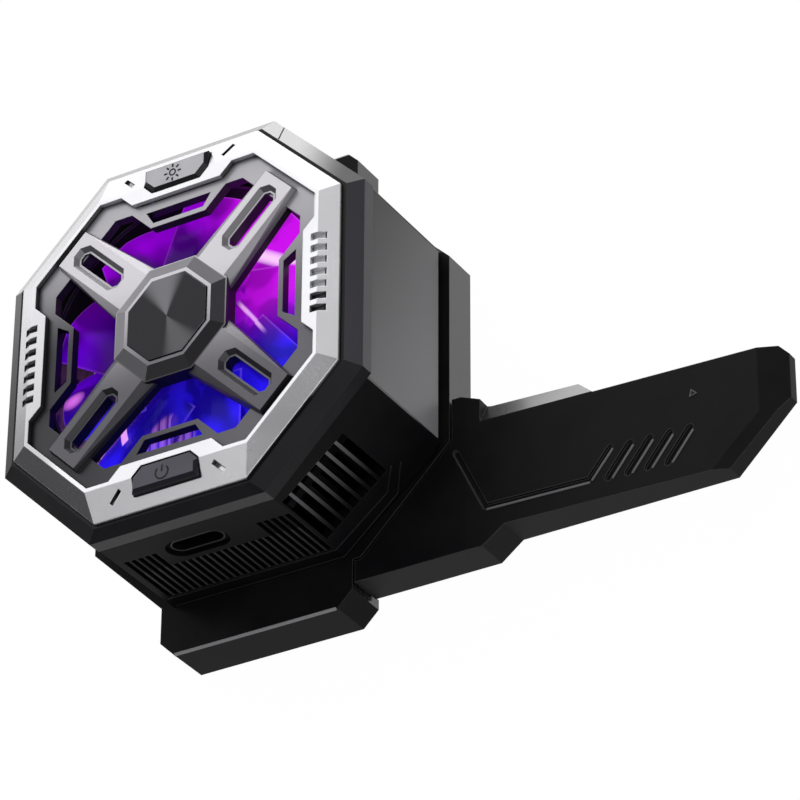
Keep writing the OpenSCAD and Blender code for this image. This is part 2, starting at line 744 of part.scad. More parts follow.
module body_shell() {
    color("#19191b") difference() {
        union() {
            translate([0, 0, z_panel - 0.6]) linear_extrude(z_rim - z_panel + 0.6) body_shape();
            translate([0, 0, z_base]) linear_extrude(groove_h) intersection() {
                body_shape();
                square([2 * (body_x - panel_t), 4 * body_y], center = true);
            }
        }
        prism(room_x, room_y, room_cut, z_sink, z_rim + 1);
        // window round the cooling module
        translate([0, 0, z_base]) cube([gasket_out * 2 + 0.4, gasket_out * 2 + 0.4, 10], center = true);
        for (s = [-1, 1]) translate([s * body_x, 0, 0])
            block([-panel_t, -panel_y - 0.1, z_panel - 1], [panel_t, panel_y + 0.1, z_rim + 1]);
        vent_row(true);
        mirror([0, 1, 0]) vent_row(false);
        for (x = [0, 1]) for (y = [0, 1]) mirror([x, 0, 0]) mirror([0, y, 0])
            corner_vents(x > 0 ? body_cut : body_cut_x);
        translate([port_x, -body_y, port_z]) round_slot(port_w + 1.4, port_h + 1.4, 1.4);
        translate([port_x, -body_y, port_z]) round_slot(port_w + 0.3, port_h + 0.3, 8);
        base_screw_places() cylinder(r = screw_d / 2 + 0.15, h = z_sink + 1);
    }
}

module side_panel() {
    color("#5c5c62") translate([body_x, 0, 0]) block([-panel_t, -panel_y, z_panel], [0, panel_y, z_rim - 0.15]);
}

module right_side_panel() {
    side_panel();
}

module left_side_panel() {
    mirror([1, 0, 0]) side_panel();
}

// Port shell with its tongue, under the control board
socket_in = duct_r + 0.6;

module usb_c_socket() {
    color("#b8bcc0") translate([port_x, -(body_y - 0.5 + socket_in) / 2, port_z]) difference() {
        round_slot(port_w, port_h, body_y - 0.5 - socket_in);
        translate([0, -1, 0]) round_slot(port_w - 0.6, port_h - 0.6, body_y - 0.5 - socket_in);
    }
    color("#202124") translate([port_x, -(body_y - 1.6 + socket_in) / 2, port_z])
        cube([port_w - 2.4, body_y - 1.6 - socket_in, 0.7], center = true);
}

post_w = 3;
post_x = port_w / 2 - port_x + 0.4 + post_w / 2;
post_y0 = duct_r + 0.7;
post_y1 = room_y - 0.3;
board_z = port_z + port_h / 2;
switch_z = z_seat - ledge_t - 2.1;

module control_board() {
    x = post_x - post_w / 2;
    color("#1f5a3c") block([-x, -post_y1, board_z], [x, -post_y0, board_z + 0.8]);
}

module switch_board() {
    y = (post_y0 + post_y1) / 2;
    x = post_x + post_w / 2;
    color("#1f5a3c") block([-x, post_y0, switch_z], [x, post_y1, switch_z + 0.8]);
    color("#303236") block([-2.2, y - 1.2, switch_z + 0.8], [2.2, y + 1.2, switch_z + 1.9]);
    color("#b8bcc0") translate([0, y, switch_z + 1.9]) cylinder(d = 1.4, h = z_seat - button_travel - 0.3 - switch_z - 1.9);
}

module switch_boards() {
    for (s = [0, 1]) mirror([0, s, 0]) switch_board();
}

// Fan frame: plate, duct, struts, motor seat, bearing tube and the posts of the switch boards
bearing_r = shaft_d / 2 + 0.05 + bearing_wall;
tube_r = bearing_r + tube_wall;
tube_top = z_duct - 2.8;
seat_r = rotor_hub_d / 2 - 0.6;

module fan_frame() {
    color("#161618") difference() {
        union() {
            difference() {
                prism(room_x - 0.2, room_y - 0.2, room_cut, z_plate, z_motor);
                translate([0, 0, z_plate - 1]) cylinder(r = duct_in, h = plate_t + 2);
                translate([port_x, -room_y, z_plate]) cube([port_w + 1, 2 * (room_y - socket_in) + 0.4, 10], center = true);
            }
            tube(duct_r, duct_in, z_plate, z_duct);
            tube(seat_r, 0, z_plate, z_motor);
            tube(tube_r, 0, z_motor - eps, tube_top);
            for (a = [30:120:270]) rotate([0, 0, a])
                block([seat_r - 1, -1.2, z_plate], [duct_in + 0.5, 1.2, z_motor]);
            for (x = [-1, 1]) for (y = [0, 1]) mirror([0, y, 0]) translate([x * post_x, 0, 0])
                block([-post_w / 2, post_y0, z_motor - eps], [post_w / 2, post_y1, switch_z]);
        }
        translate([0, 0, z_motor - 0.6]) cylinder(r = bearing_r, h = 20);
        fan_screw_places() cylinder(r = screw_d / 2 + 0.15, h = z_motor + 1);
    }
}

module fan_bearing() {
    color("#b0853f") tube(bearing_r, shaft_d / 2 + 0.05, z_motor - 0.3, tube_top - 0.2);
}

magnet_r = rotor_hub_d / 2 - rotor_wall;
core_r = magnet_r - magnet_t - air_gap;
core_z0 = z_motor + 1.4;
core_z1 = z_motor + 4.2;

module stator_core() {
    color("#8a8d90") difference() {
        union() {
            tube(tube_r + core_ring, tube_r, core_z0, core_z1);
            for (a = [0:60:300]) rotate([0, 0, a]) {
                block([tube_r + core_ring / 2, -0.5, core_z0], [core_r - tooth_tip / 2, 0.5, core_z1]);
                intersection() {
                    tube(core_r, core_r - tooth_tip, core_z0, core_z1);
                    block([0, -1.9, core_z0 - 1], [20, 1.9, core_z1 + 1]);
                }
            }
        }
    }
}

module stator_coils() {
    color("#b4672f") for (a = [0:60:300]) rotate([0, 0, a]) difference() {
        block([tube_r + core_ring + 0.15, -1, core_z0 - 0.5], [core_r - tooth_tip - 0.1, 1, core_z1 + 0.5]);
        block([0, -0.5, core_z0], [20, 0.5, core_z1]);
    }
}

rotor_z0 = z_motor + 0.5;
rotor_z1 = z_duct - 0.6;

// Blade along +X, curved down from its upper edge
module blade() {
    top = rotor_z1 - 0.3;
    fall = top - rotor_z0 - 0.3;
    axis_z = top - blade_curve * cos(blade_lead);
    end = acos(cos(blade_lead) - fall / blade_curve);
    axis_y = -blade_curve * (sin(blade_lead) + sin(end)) / 2;
    hub_r = rotor_hub_d / 2;
    translate([hub_r - rotor_wall, axis_y, axis_z]) intersection() {
        rotate([0, 90, 0]) difference() {
            cylinder(r = blade_curve + blade_t / 2, h = fan_r - hub_r + rotor_wall + 1, $fn = 96);
            translate([0, 0, -1]) cylinder(r = blade_curve - blade_t / 2, h = fan_r, $fn = 96);
        }
        block([-1, 1, 0], [fan_r, blade_curve, blade_curve * 2]);
    }
}

// Hub cup with a boss for the shaft, and curved blades trimmed to a ring
module fan_rotor() {
    hub_r = rotor_hub_d / 2;
    color("#8a4de0", 0.6) {
        difference() {
            tube(hub_r, 0, rotor_z0, rotor_z1);
            tube(hub_r - rotor_wall, 0, rotor_z0 - 1, rotor_z1 - 1);
            translate([0, 0, rotor_z0]) cylinder(r = shaft_d / 2, h = rotor_z1 - rotor_z0 - 0.4);
        }
        intersection() {
            tube(fan_r, hub_r - rotor_wall / 2, rotor_z0 + 0.3, rotor_z1 - 0.3);
            for (i = [0:blade_count - 1]) rotate([0, 0, i * 360 / blade_count + blade_turn]) mirror([0, 1, 0]) blade();
        }
    }
}

module rotor_magnet() {
    color("#4a4a4e") tube(magnet_r, magnet_r - magnet_t, rotor_z0 + 0.3, rotor_z1 - 1.3);
}

module fan_shaft() {
    color("#c9ccd0") translate([0, 0, z_motor - 0.3]) cylinder(d = shaft_d, h = rotor_z1 - 0.4 - z_motor + 0.3);
}

// Ring board with its light chips, on the duct's rim
module light_ring() {
    color("#1d1d22") tube(duct_r, duct_in, z_duct, z_duct + led_t);
    color("#d9a6ff") for (i = [0:chip_count - 1]) rotate([0, 0, (i + 0.5) * 360 / chip_count])
        translate([(duct_r + duct_in) / 2, 0, z_duct + led_t - eps]) translate([-0.4, -0.9, 0]) cube([0.8, 1.8, chip_h + eps]);
}

module button_holes() {
    for (s = [0, 1]) mirror([0, s, 0]) translate([0, (post_y0 + post_y1) / 2, 0]) children();
}

// An outline trimmed at the bezel's upper edge, grown by g
module set_back(g = 0) {
    intersection() {
        children();
        translate([-bezel_w, -bezel_h]) square([2 * bezel_w, 1.5 * bezel_h - bezel_back + g]);
    }
}

// Black rim with its bevel and the ledge under the bezel
module front_shell() {
    gap = 0.15;
    color("#1d1d20") difference() {
        union() {
            prism(rim_x, rim_y, rim_cut, z_rim, z_wall);
            hull() {
                prism(rim_x, rim_y, rim_cut, z_wall - eps, z_wall);
                translate([0, 0, z_edge - rim_low - eps]) linear_extrude(eps) set_back(0.5)
                    octagon(bezel_w / 2 + 0.7, bezel_h / 2 + 0.5, bezel_cut + 0.4);
            }
        }
        translate([0, 0, z_seat]) linear_extrude(z_edge + 1 - z_seat) set_back(gap)
            octagon(bezel_w / 2 + gap, bezel_h / 2 + gap, bezel_cut + gap * (2 - sqrt(2)));
        prism(room_x, room_y, room_cut, z_rim - 1, z_seat - ledge_t);
        translate([0, 0, z_rim]) cylinder(r = ledge_r, h = 20);
        button_holes() translate([-2.8, -1.5, z_rim]) cube([5.6, 3, 20]);
    }
}

// Spoke along +X from the hub to the ring, with a foot that widens to the hub and a sunk slot
module spoke() {
    r = (open_x + open_y - open_cut) / sqrt(2) - 0.9;
    f = spoke_w / 2;
    slot_x = r - 2.6 - spoke_slot_l;
    difference() {
        hull() {
            translate([0, 0, z_seat]) linear_extrude(grille_t - 0.3)
                polygon([[0, -f - spoke_flare / 2], [r, -f], [r, f], [0, f + spoke_flare / 2]]);
            block([0, -spoke_top / 2, z_spoke - eps], [r - 0.3, spoke_top / 2, z_spoke]);
        }
        translate([slot_x, 0, z_seat - 1]) linear_extrude(20) spoke_window(spoke_slot_l, spoke_slot);
        hull() {
            translate([slot_x - 0.3, 0, z_spoke - 0.7]) linear_extrude(eps)
                spoke_window(spoke_slot_l + 0.6, spoke_slot + 0.6);
            translate([slot_x - 0.9, 0, z_spoke]) linear_extrude(1)
                spoke_window(spoke_slot_l + 1.8, spoke_slot + 1.9);
        }
    }
}

module spoke_window(l, w) {
    c = w * 0.3;
    polygon([[0, c - w / 2], [c, -w / 2], [l - c, -w / 2], [l, c - w / 2], [l, w / 2 - c], [l - c, w / 2],
        [c, w / 2], [0, w / 2 - c]]);
}

// Tab with its window, pointing in from the side at distance d
module window_tab(d) {
    i = d - window_reach;
    e = window_edge / 2;
    polygon([[-e, i], [e, i], [e + window_reach + 0.3, d + 0.3], [-e - window_reach - 0.3, d + 0.3]]);
}

module tab_window(d) {
    i = d - window_reach + 0.8;
    e = window_edge / 2 - 0.4;
    polygon([[-e, i], [e, i], [e + 1.3, i + window_h], [-e - 1.3, i + window_h]]);
}

module grille() {
    cap_hole = cap_w / 2 + 0.1;
    color("#6b6b72") difference() {
        union() {
            translate([0, 0, z_seat]) linear_extrude(grille_t) difference() {
                union() {
                    difference() {
                        octagon(tuck_x, tuck_y, open_cut + grille_tuck * (2 - sqrt(2)));
                        octagon(ring_x, ring_y, ring_cut);
                    }
                    for (a = [0, 180]) rotate(a) window_tab(ring_y);
                    for (a = [90, 270]) rotate(a) window_tab(ring_x);
                }
                for (a = [0, 180]) rotate(a) tab_window(ring_y);
                for (a = [90, 270]) rotate(a) tab_window(ring_x);
                // room for the buttons' flanges
                for (s = [-1, 1]) translate([-button_w / 2 - 1.2, s > 0 ? button_y - button_l - 1.2 : -60])
                    square([button_w + 2.4, 60 - button_y + button_l + 1.2]);
            }
            for (a = [45:90:315]) rotate([0, 0, a]) spoke();
            frustum(hub_w / 2, hub_w / 2, hub_w * 0.293, z_seat, hub_w / 2, hub_w / 2, hub_w * 0.293, z_spoke);
            frustum(hub_w / 2, hub_w / 2, hub_w * 0.293, z_spoke - eps, hub_top / 2, hub_top / 2, hub_top * 0.293, z_hub);
        }
        prism(cap_hole, cap_hole, cap_hole * 2 * 0.293, z_hub + cap_proud - cap_t, z_hub + 5);
    }
}

module hub_cap() {
    color("#4a4a50") prism(cap_w / 2, cap_w / 2, cap_w * 0.293, z_hub + cap_proud - cap_t, z_hub + cap_proud);
}

// Outline of the upper button, grown by g
module button_shape(g = 0) {
    w = button_w / 2 + g;
    o = button_y + (g > 0.5 ? g - 0.35 : g);
    i = button_y - button_l - g;
    polygon([[-w, o], [w, o], [w, i + button_cut], [w - button_cut, i], [button_cut - w, i], [-w, i + button_cut]]);
}

flange_z1 = z_edge + 0.05;
flange_z0 = flange_z1 - 0.4;

module button() {
    y = (post_y0 + post_y1) / 2;
    top = z_ridge + button_proud;
    hull() {
        translate([0, 0, flange_z0]) linear_extrude(top - button_bevel - flange_z0) button_shape();
        translate([0, 0, top - eps]) linear_extrude(eps) button_shape(-button_bevel);
    }
    translate([0, 0, flange_z0]) linear_extrude(flange_z1 - flange_z0) button_shape(0.7);
    block([-2.2, y - 1, z_seat - 0.2], [2.2, y + 1, flange_z0 + eps]);
}

module light_button() {
    color("#86868c") button();
}

module power_button() {
    color("#6a6a72") mirror([0, 1, 0]) button();
}

// Silver bezel: a sloped ring with four flat tabs, dashes, and pockets for the buttons
module bezel_opening() {
    difference() {
        octagon(open_x, open_y, open_cut);
        for (a = [0, 180]) rotate(a) bezel_tab(open_y);
        for (a = [90, 270]) rotate(a) bezel_tab(open_x);
    }
}

module bezel_tab(d) {
    i = d - tab_reach;
    e = tab_len / 2;
    polygon([[-e, i], [e, i], [e + tab_reach + 1, d + 1], [-e - tab_reach - 1, d + 1]]);
}

module bezel() {
    color("#d9d9dd") difference() {
        union() {
            prism(bezel_w / 2, bezel_h / 2, bezel_cut, z_seat, z_edge);
            frustum(bezel_w / 2, bezel_h / 2, bezel_cut, z_edge - eps, ridge_x, ridge_y, ridge_cut, z_ridge);
        }
        translate([0, 0, z_seat - 1]) linear_extrude(20) bezel_opening();
        translate([-bezel_w, bezel_h / 2 - bezel_back, z_seat - 1]) cube([2 * bezel_w, bezel_h, 20]);
        // recess over the grille's ring
        prism(tuck_x + 0.15, tuck_y + 0.15, open_cut + grille_tuck * (2 - sqrt(2)), z_seat - 1, z_ring + 0.02);
        for (s = [0, 1]) mirror([0, s, 0]) {
            translate([0, 0, z_seat - 1]) linear_extrude(20) button_shape(button_gap);
            translate([0, 0, z_seat - 1]) linear_extrude(flange_z1 + 0.05 - z_seat + 1) button_shape(0.85);
            for (x = [-1, 1]) translate([x * (button_w / 2 + 3.2), button_y - 0.7, z_ridge - 1.3]) rotate([0, 0, -x * 45])
                linear_extrude(5) square([pill_w, pill_len], center = true);
        }
        // dashes beside the grille
        for (s = [-1, 1]) for (i = [0:dash_count - 1])
            translate([s * (open_x + 0.6), (i - (dash_count - 1) / 2) * dash_pitch, z_ridge - 1])
                linear_extrude(5) square([dash_len, dash_w], center = true);
    }
}

base_plate();
lower_jaw_pad();
upper_jaw();
upper_jaw_pad();
jaw_springs();
side_arm();
arm_pad();
arm_stop_pin();
thermal_pad();
cold_plate();
cooling_module();
foam_gasket();
heat_sink();
base_screws();
body_shell();
right_side_panel();
left_side_panel();
usb_c_socket();
control_board();
switch_boards();
fan_frame();
fan_screws();
fan_bearing();
stator_core();
stator_coils();
fan_rotor();
rotor_magnet();
fan_shaft();
light_ring();
front_shell();
grille();
hub_cap();
bezel();
light_button();
power_button();
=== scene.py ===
import json
import math

import bmesh
import bpy
from mathutils import Matrix, Vector


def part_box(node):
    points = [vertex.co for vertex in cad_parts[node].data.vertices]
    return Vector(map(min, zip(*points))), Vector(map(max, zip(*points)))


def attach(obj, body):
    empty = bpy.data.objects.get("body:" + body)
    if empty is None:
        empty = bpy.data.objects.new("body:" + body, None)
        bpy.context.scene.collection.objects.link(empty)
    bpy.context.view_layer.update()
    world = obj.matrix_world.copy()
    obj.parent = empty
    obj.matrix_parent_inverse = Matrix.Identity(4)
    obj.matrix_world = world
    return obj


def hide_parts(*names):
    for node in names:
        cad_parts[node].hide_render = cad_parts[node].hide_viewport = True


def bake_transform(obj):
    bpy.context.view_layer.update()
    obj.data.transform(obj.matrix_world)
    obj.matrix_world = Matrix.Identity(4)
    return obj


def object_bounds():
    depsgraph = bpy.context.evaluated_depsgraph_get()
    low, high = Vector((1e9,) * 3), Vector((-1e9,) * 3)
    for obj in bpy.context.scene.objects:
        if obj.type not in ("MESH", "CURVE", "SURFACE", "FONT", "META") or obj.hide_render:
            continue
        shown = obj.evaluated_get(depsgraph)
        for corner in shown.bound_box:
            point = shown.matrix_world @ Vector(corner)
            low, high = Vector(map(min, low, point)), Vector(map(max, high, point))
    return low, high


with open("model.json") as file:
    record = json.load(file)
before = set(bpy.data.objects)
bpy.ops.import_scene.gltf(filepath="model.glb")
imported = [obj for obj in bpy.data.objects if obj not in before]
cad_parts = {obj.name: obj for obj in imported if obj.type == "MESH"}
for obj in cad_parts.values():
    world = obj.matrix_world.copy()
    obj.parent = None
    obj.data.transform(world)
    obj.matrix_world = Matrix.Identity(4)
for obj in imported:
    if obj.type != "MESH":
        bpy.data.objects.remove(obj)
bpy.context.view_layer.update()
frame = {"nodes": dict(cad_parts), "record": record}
nodes = frame["nodes"]
MM = 0.001


# Shader sockets that take Python arithmetic

class Socket:
    def __init__(self, paint, out):
        self.paint = paint
        self.out = out

    def maths(self, operation, *values):
        return self.paint.node("ShaderNodeMath", {"operation": operation}, dict(enumerate(values)))

    def __add__(self, other):
        return self.maths("ADD", self, other)

    def __radd__(self, other):
        return self.maths("ADD", other, self)

    def __sub__(self, other):
        return self.maths("SUBTRACT", self, other)

    def __rsub__(self, other):
        return self.maths("SUBTRACT", other, self)

    def __mul__(self, other):
        return self.maths("MULTIPLY", self, other)

    def __rmul__(self, other):
        return self.maths("MULTIPLY", other, self)

    def __truediv__(self, other):
        return self.maths("DIVIDE", self, other)

    def __rtruediv__(self, other):
        return self.maths("DIVIDE", other, self)

    def __pow__(self, other):
        return self.maths("POWER", self, other)

    def __lt__(self, other):
        return self.maths("LESS_THAN", self, other)

    def clamp(self):
        return self.paint.node("ShaderNodeClamp", {}, {0: self})

    def ramp(self, low, high):
        smooth = {"interpolation_type": "SMOOTHSTEP"}
        return self.paint.node("ShaderNodeMapRange", smooth, {0: self, 1: low, 2: high})

    def size(self):
        return self.maths("ABSOLUTE", self)


class Paint:
    def __init__(self, name, **values):
        self.material = bpy.data.materials.new(name)
        self.material.use_nodes = True
        self.tree = self.material.node_tree
        self.shader = self.tree.nodes["Principled BSDF"]
        for socket, value in values.items():
            self.shader.inputs[socket.replace("_", " ")].default_value = value

    def node(self, kind, settings, sockets, out=0):
        made = self.tree.nodes.new(kind)
        for key, value in settings.items():
            setattr(made, key, value)
        for key, value in sockets.items():
            if isinstance(value, Socket):
                self.tree.links.new(value.out, made.inputs[key])
            else:
                made.inputs[key].default_value = value
        return Socket(self, made.outputs[out])

    def place(self):
        return self.node("ShaderNodeTexCoord", {}, {}, "Object")

    def split(self, vector):
        parts = self.node("ShaderNodeSeparateXYZ", {}, {0: vector})
        return [Socket(self, o) for o in parts.out.node.outputs]

    def xyz(self):
        return [s * 1000 for s in self.split(self.place())]

    def facing(self):
        return self.split(self.node("ShaderNodeTexCoord", {}, {}, "Normal"))

    def hollow(self, reach_mm):
        return self.node("ShaderNodeAmbientOcclusion", {"samples": 8}, {"Distance": reach_mm * MM}, "AO")

    def noise(self, size_mm, detail=3, stretch=(1, 1, 1), rough=0.55):
        scale = [s / (size_mm * MM) for s in stretch]
        moved = self.node("ShaderNodeMapping", {}, {0: self.place(), 3: scale})
        sockets = {"Vector": moved, "Scale": 1.0, "Detail": detail, "Roughness": rough}
        return self.node("ShaderNodeTexNoise", {}, sockets)

    def mix(self, factor, a, b):
        a, b = [c if isinstance(c, Socket) else (*c, 1) for c in (a, b)]
        return self.node("ShaderNodeMix", {"data_type": "RGBA"}, {0: factor, 6: a, 7: b}, 2)

    def soft_edges(self, radius_mm):
        return self.node("ShaderNodeBevel", {"samples": 6}, {"Radius": radius_mm * MM})

    def edge_mask(self, radius_mm):
        soft = self.soft_edges(radius_mm)
        flat = self.node("ShaderNodeNewGeometry", {}, {}, "True Normal")
        dot = self.node("ShaderNodeVectorMath", {"operation": "DOT_PRODUCT"}, {0: soft, 1: flat}, 1)
        return (1 - dot).ramp(0.02, 0.25)

    def bump(self, height, strength, depth_mm, normal=None):
        sockets = {"Height": height, "Strength": strength, "Distance": depth_mm * MM}
        if normal is not None:
            sockets["Normal"] = normal
        return self.node("ShaderNodeBump", {}, sockets)

    def set(self, **links):
        for name, socket in links.items():
            self.tree.links.new(socket.out, self.shader.inputs[name.replace("_", " ")])
        return self.material


# Finishes of the moulded plastics

def black_plastic(name, tone, rough, edge_highlight_tone=0.12, edge_mm=0.22):
    p = Paint(name, Specular_IOR_Level=0.06, Coat_Roughness=0.22)
    nx, ny, nz = p.facing()
    cloud = p.noise(9, 2)
    grain = p.noise(0.12, 2)
    colour = p.mix(cloud.ramp(0.3, 0.7), [tone * 0.8] * 3, [tone * 1.25, tone * 1.25, tone * 1.35])
    # Painted highlight along the edges
    colour = p.mix(p.edge_mask(edge_mm) * 0.6, colour, [edge_highlight_tone] * 3)
    gloss = ny.ramp(-0.4, -0.05) * (1 - nz.ramp(0.86, 0.97))
    normal = p.bump(grain, 0.25, 0.02, p.soft_edges(edge_mm))
    roughness = rough + 0.12 * (cloud - 0.5) + 0.08 * (grain - 0.5)
    return p.set(Base_Color=colour, Roughness=roughness, Coat_Weight=gloss, Normal=normal)


def arm_plastic(name):
    p = Paint(name, Specular_IOR_Level=0.1, Coat_Roughness=0.2, Coat_IOR=2.0)
    x, y, z = p.xyz()
    nx, ny, nz = p.facing()
    cloud = p.noise(9, 2)
    grain = p.noise(0.12, 2)
    colour = p.mix(cloud.ramp(0.3, 0.7), (0.005, 0.005, 0.006), (0.008, 0.008, 0.009))
    # Painted reflection on the block's slope, palest at its outer end
    slope = ny.ramp(0.3, 0.45) * nz.ramp(0.3, 0.6)
    colour = p.mix(slope * x.ramp(37, 53), colour, (0.44, 0.44, 0.445))
    # Painted highlight along the edges
    colour = p.mix(p.edge_mask(0.3) * 0.7, colour, (0.15, 0.15, 0.155))
    # Lips and arrow stand just above the tilted front face and get a painted highlight
    raised = (z + 0.0524 * (x - 33.7) - 6.5).ramp(0.035, 0.06) * x.ramp(35.5, 36)
    colour = p.mix(raised, colour, (0.16, 0.16, 0.165))
    gloss = ny.ramp(0.05, 0.3) * (1 - nz.ramp(0.86, 0.97))
    normal = p.bump(grain, 0.25, 0.02, p.soft_edges(0.25))
    roughness = 0.5 + 0.12 * (cloud - 0.5) + 0.08 * (grain - 0.5)
    return p.set(Base_Color=colour, Roughness=roughness, Coat_Weight=gloss, Normal=normal)


def vented_plastic(name):
    p = Paint(name, Specular_IOR_Level=0.08, Coat_Roughness=0.25)
    x, y, z = p.xyz()
    nx, ny, nz = p.facing()
    cloud = p.noise(9, 2)
    grain = p.noise(0.12, 2)
    colour = p.mix(cloud.ramp(0.3, 0.7), (0.004, 0.004, 0.005), (0.007, 0.007, 0.008))
    # Painted highlight on the ribs between the wide corner vents, palest at the top
    side = x.size()
    wide = (side - 14.4).ramp(0, 0.3) * (23.6 - side).ramp(0, 1)
    wide = wide * (z - 12.1).ramp(0, 0.2) * (24.5 - z).ramp(0, 0.2)
    wide = wide * nx.size().ramp(0.55, 0.62) * ny.size().ramp(0.6, 0.7)
    colour = p.mix(wide * z.ramp(13, 27) * 0.9, colour, (0.20, 0.20, 0.21))
    # Painted highlight on the ribs between the thin vents
    thin = ny.size().ramp(0.9, 0.95) * (z - 9.7).ramp(0, 0.2) * (17.7 - z).ramp(0, 0.2)
    thin = thin * (x + 15).ramp(0, 0.5) * (13.6 - x).ramp(0, 0.5)
    colour = p.mix(thin * 0.8, colour, (0.045, 0.045, 0.048))
    # Painted highlight along the edges
    colour = p.mix(p.edge_mask(0.12) * 0.35, colour, (0.09, 0.09, 0.095))
    # Painted shade in the hollows; the same mask takes the coat off there
    open_air = p.hollow(1.2).ramp(0.45, 0.85)
    colour = p.mix(1 - open_air, colour, (0.0012, 0.0012, 0.0014))
    gloss = ny.ramp(-0.4, -0.05) * (1 - nz.ramp(0.86, 0.97)) * open_air
    normal = p.bump(grain, 0.25, 0.02, p.soft_edges(0.15))
    roughness = 0.55 + 0.12 * (cloud - 0.5) + 0.08 * (grain - 0.5)
    return p.set(Base_Color=colour, Roughness=roughness, Coat_Weight=gloss, Normal=normal)


def rim_plastic(name):
    p = Paint(name, Specular_IOR_Level=0.1, Coat_Roughness=0.14, Coat_IOR=2.2)
    x, y, z = p.xyz()
    nx, ny, nz = p.facing()
    cloud = p.noise(9, 2)
    grain = p.noise(0.12, 2)
    colour = p.mix(cloud.ramp(0.3, 0.7), (0.011, 0.011, 0.013), (0.016, 0.016, 0.018))
    # Painted light: the right side is a little paler than the rest
    east = (nx - 0.45).ramp(0, 0.1) * (ny + 0.35).ramp(0, 0.2)
    colour = p.mix(east, colour, (0.045, 0.042, 0.050))
    # Painted highlight along the edges
    colour = p.mix(p.edge_mask(0.2) * 0.5, colour, (0.10, 0.10, 0.105))
    # Painted reflection: the upper bevel is pale and darkens to the right
    fade = 1 - 0.85 * (nx - 0.2).ramp(0, 0.1) * x.ramp(19, 28)
    upper = ny.ramp(0.15, 0.4) * nz.ramp(0.2, 0.5) * fade
    colour = p.mix(upper, colour, (0.24, 0.24, 0.245))
    left = (-0.3 - nx).ramp(0, 0.15) * (0.03 + 0.36 * y.ramp(-10, 20))
    front = (-0.85 - ny).ramp(0, 0.1) * (0.4 - nz).ramp(0, 0.2) * 0.12
    gloss = (ny.ramp(0.1, 0.4) * fade + left + front + 0.2 * east + 0.02).clamp()
    normal = p.bump(grain, 0.2, 0.02, p.soft_edges(0.2))
    roughness = 0.45 + 0.12 * (cloud - 0.5)
    return p.set(Base_Color=colour, Roughness=roughness, Coat_Weight=gloss, Normal=normal)


def panel_plastic(name):
    p = Paint(name, Specular_IOR_Level=0.3)
    x, y, z = p.xyz()
    cloud = p.noise(9, 2)
    grain = p.noise(0.12, 2)
    # Painted light: paler towards the bottom and the front, darker at the top
    down = (z * -0.8 - y * 0.5 + 2 * cloud).ramp(-34, 6)
    colour = p.mix(down, (0.020, 0.020, 0.023), (0.30, 0.30, 0.31))
    # Painted highlight along the edges
    colour = p.mix(p.edge_mask(0.2) * 0.5, colour, (0.25, 0.25, 0.255))
    normal = p.bump(grain, 0.25, 0.02, p.soft_edges(0.2))
    roughness = 0.42 + 0.12 * (cloud - 0.5) + 0.08 * (grain - 0.5)
    return p.set(Base_Color=colour, Roughness=roughness, Normal=normal)


# Finishes of the coated and bare metals

def silver_coat(name):
    p = Paint(name, Metallic=0.8)
    x, y, z = p.xyz()
    nx, ny, nz = p.facing()
    cloud = p.noise(12, 2)
    grain = p.noise(0.09, 2)
    colour = p.mix((cloud * 0.6 + grain * 0.4).ramp(0.3, 0.7), (0.68, 0.68, 0.70), (0.76, 0.76, 0.78))
    # Painted shade: the lower left flanks are darker, and the upper right one is toned down
    corner = (-0.08 - nx).ramp(0, 0.08) * (-0.08 - ny).ramp(0, 0.08)
    side = (-0.15 - nx).ramp(0, 0.1) * (1 - corner) * (1 - y.ramp(-15, 12))
    colour = p.mix(corner * 0.75, colour, (0.03, 0.03, 0.032))
    colour = p.mix(side * 0.75, colour, (0.05, 0.05, 0.052))
    bright = nx.ramp(0.08, 0.16) * ny.ramp(0.08, 0.16)
    colour = p.mix(bright * 0.5, colour, (0.45, 0.45, 0.455))
    # Painted shade on the level faces at the left, stronger towards the front
    level = (-18 - x).ramp(0, 4) * nz.ramp(0.95, 0.99) * (1 - 0.6 * y.ramp(-14, 16))
    colour = p.mix(level * 0.5, colour, (0.25, 0.25, 0.255))
    # Painted shade on the inner walls of the ring
    inner = (0.3 - nz).ramp(0, 0.1) * nx.ramp(0.3, 0.6) * (24 - x).ramp(0, 1)
    colour = p.mix(inner * 0.9, colour, (0.05, 0.05, 0.053))
    # Painted highlight along the edges
    colour = p.mix(p.edge_mask(0.18) * 0.45, colour, (0.92, 0.92, 0.93))
    # Painted shade darkens the hollows, except the floors of the upper dashes and the lower pills, which
    # stay light
    dash = (x - 23.8).ramp(0, 0.1) * (26.6 - x).ramp(0, 0.1)
    dash = dash * (y + 2.9).ramp(0, 0.3) * (33.8 - z).ramp(0, 0.3)
    pill = (33.1 - z).ramp(0, 0.1) * nz.ramp(0.9, 0.98) * (-20 - y).ramp(0, 1)
    lit = 0.9 * dash * (nz.ramp(0.9, 0.98) + 0.6 * (-0.8 - ny).ramp(0, 0.1)) + 0.45 * pill
    open_air = (p.hollow(0.9).ramp(0.3, 0.72) + lit).clamp()
    colour = p.mix(1 - open_air, colour, (0.010, 0.010, 0.011))
    normal = p.bump(grain, 0.1, 0.01, p.soft_edges(0.18))
    roughness = 0.25 + 0.08 * (cloud - 0.5) + 0.1 * (grain - 0.5)
    return p.set(Base_Color=colour, Roughness=roughness, Normal=normal)


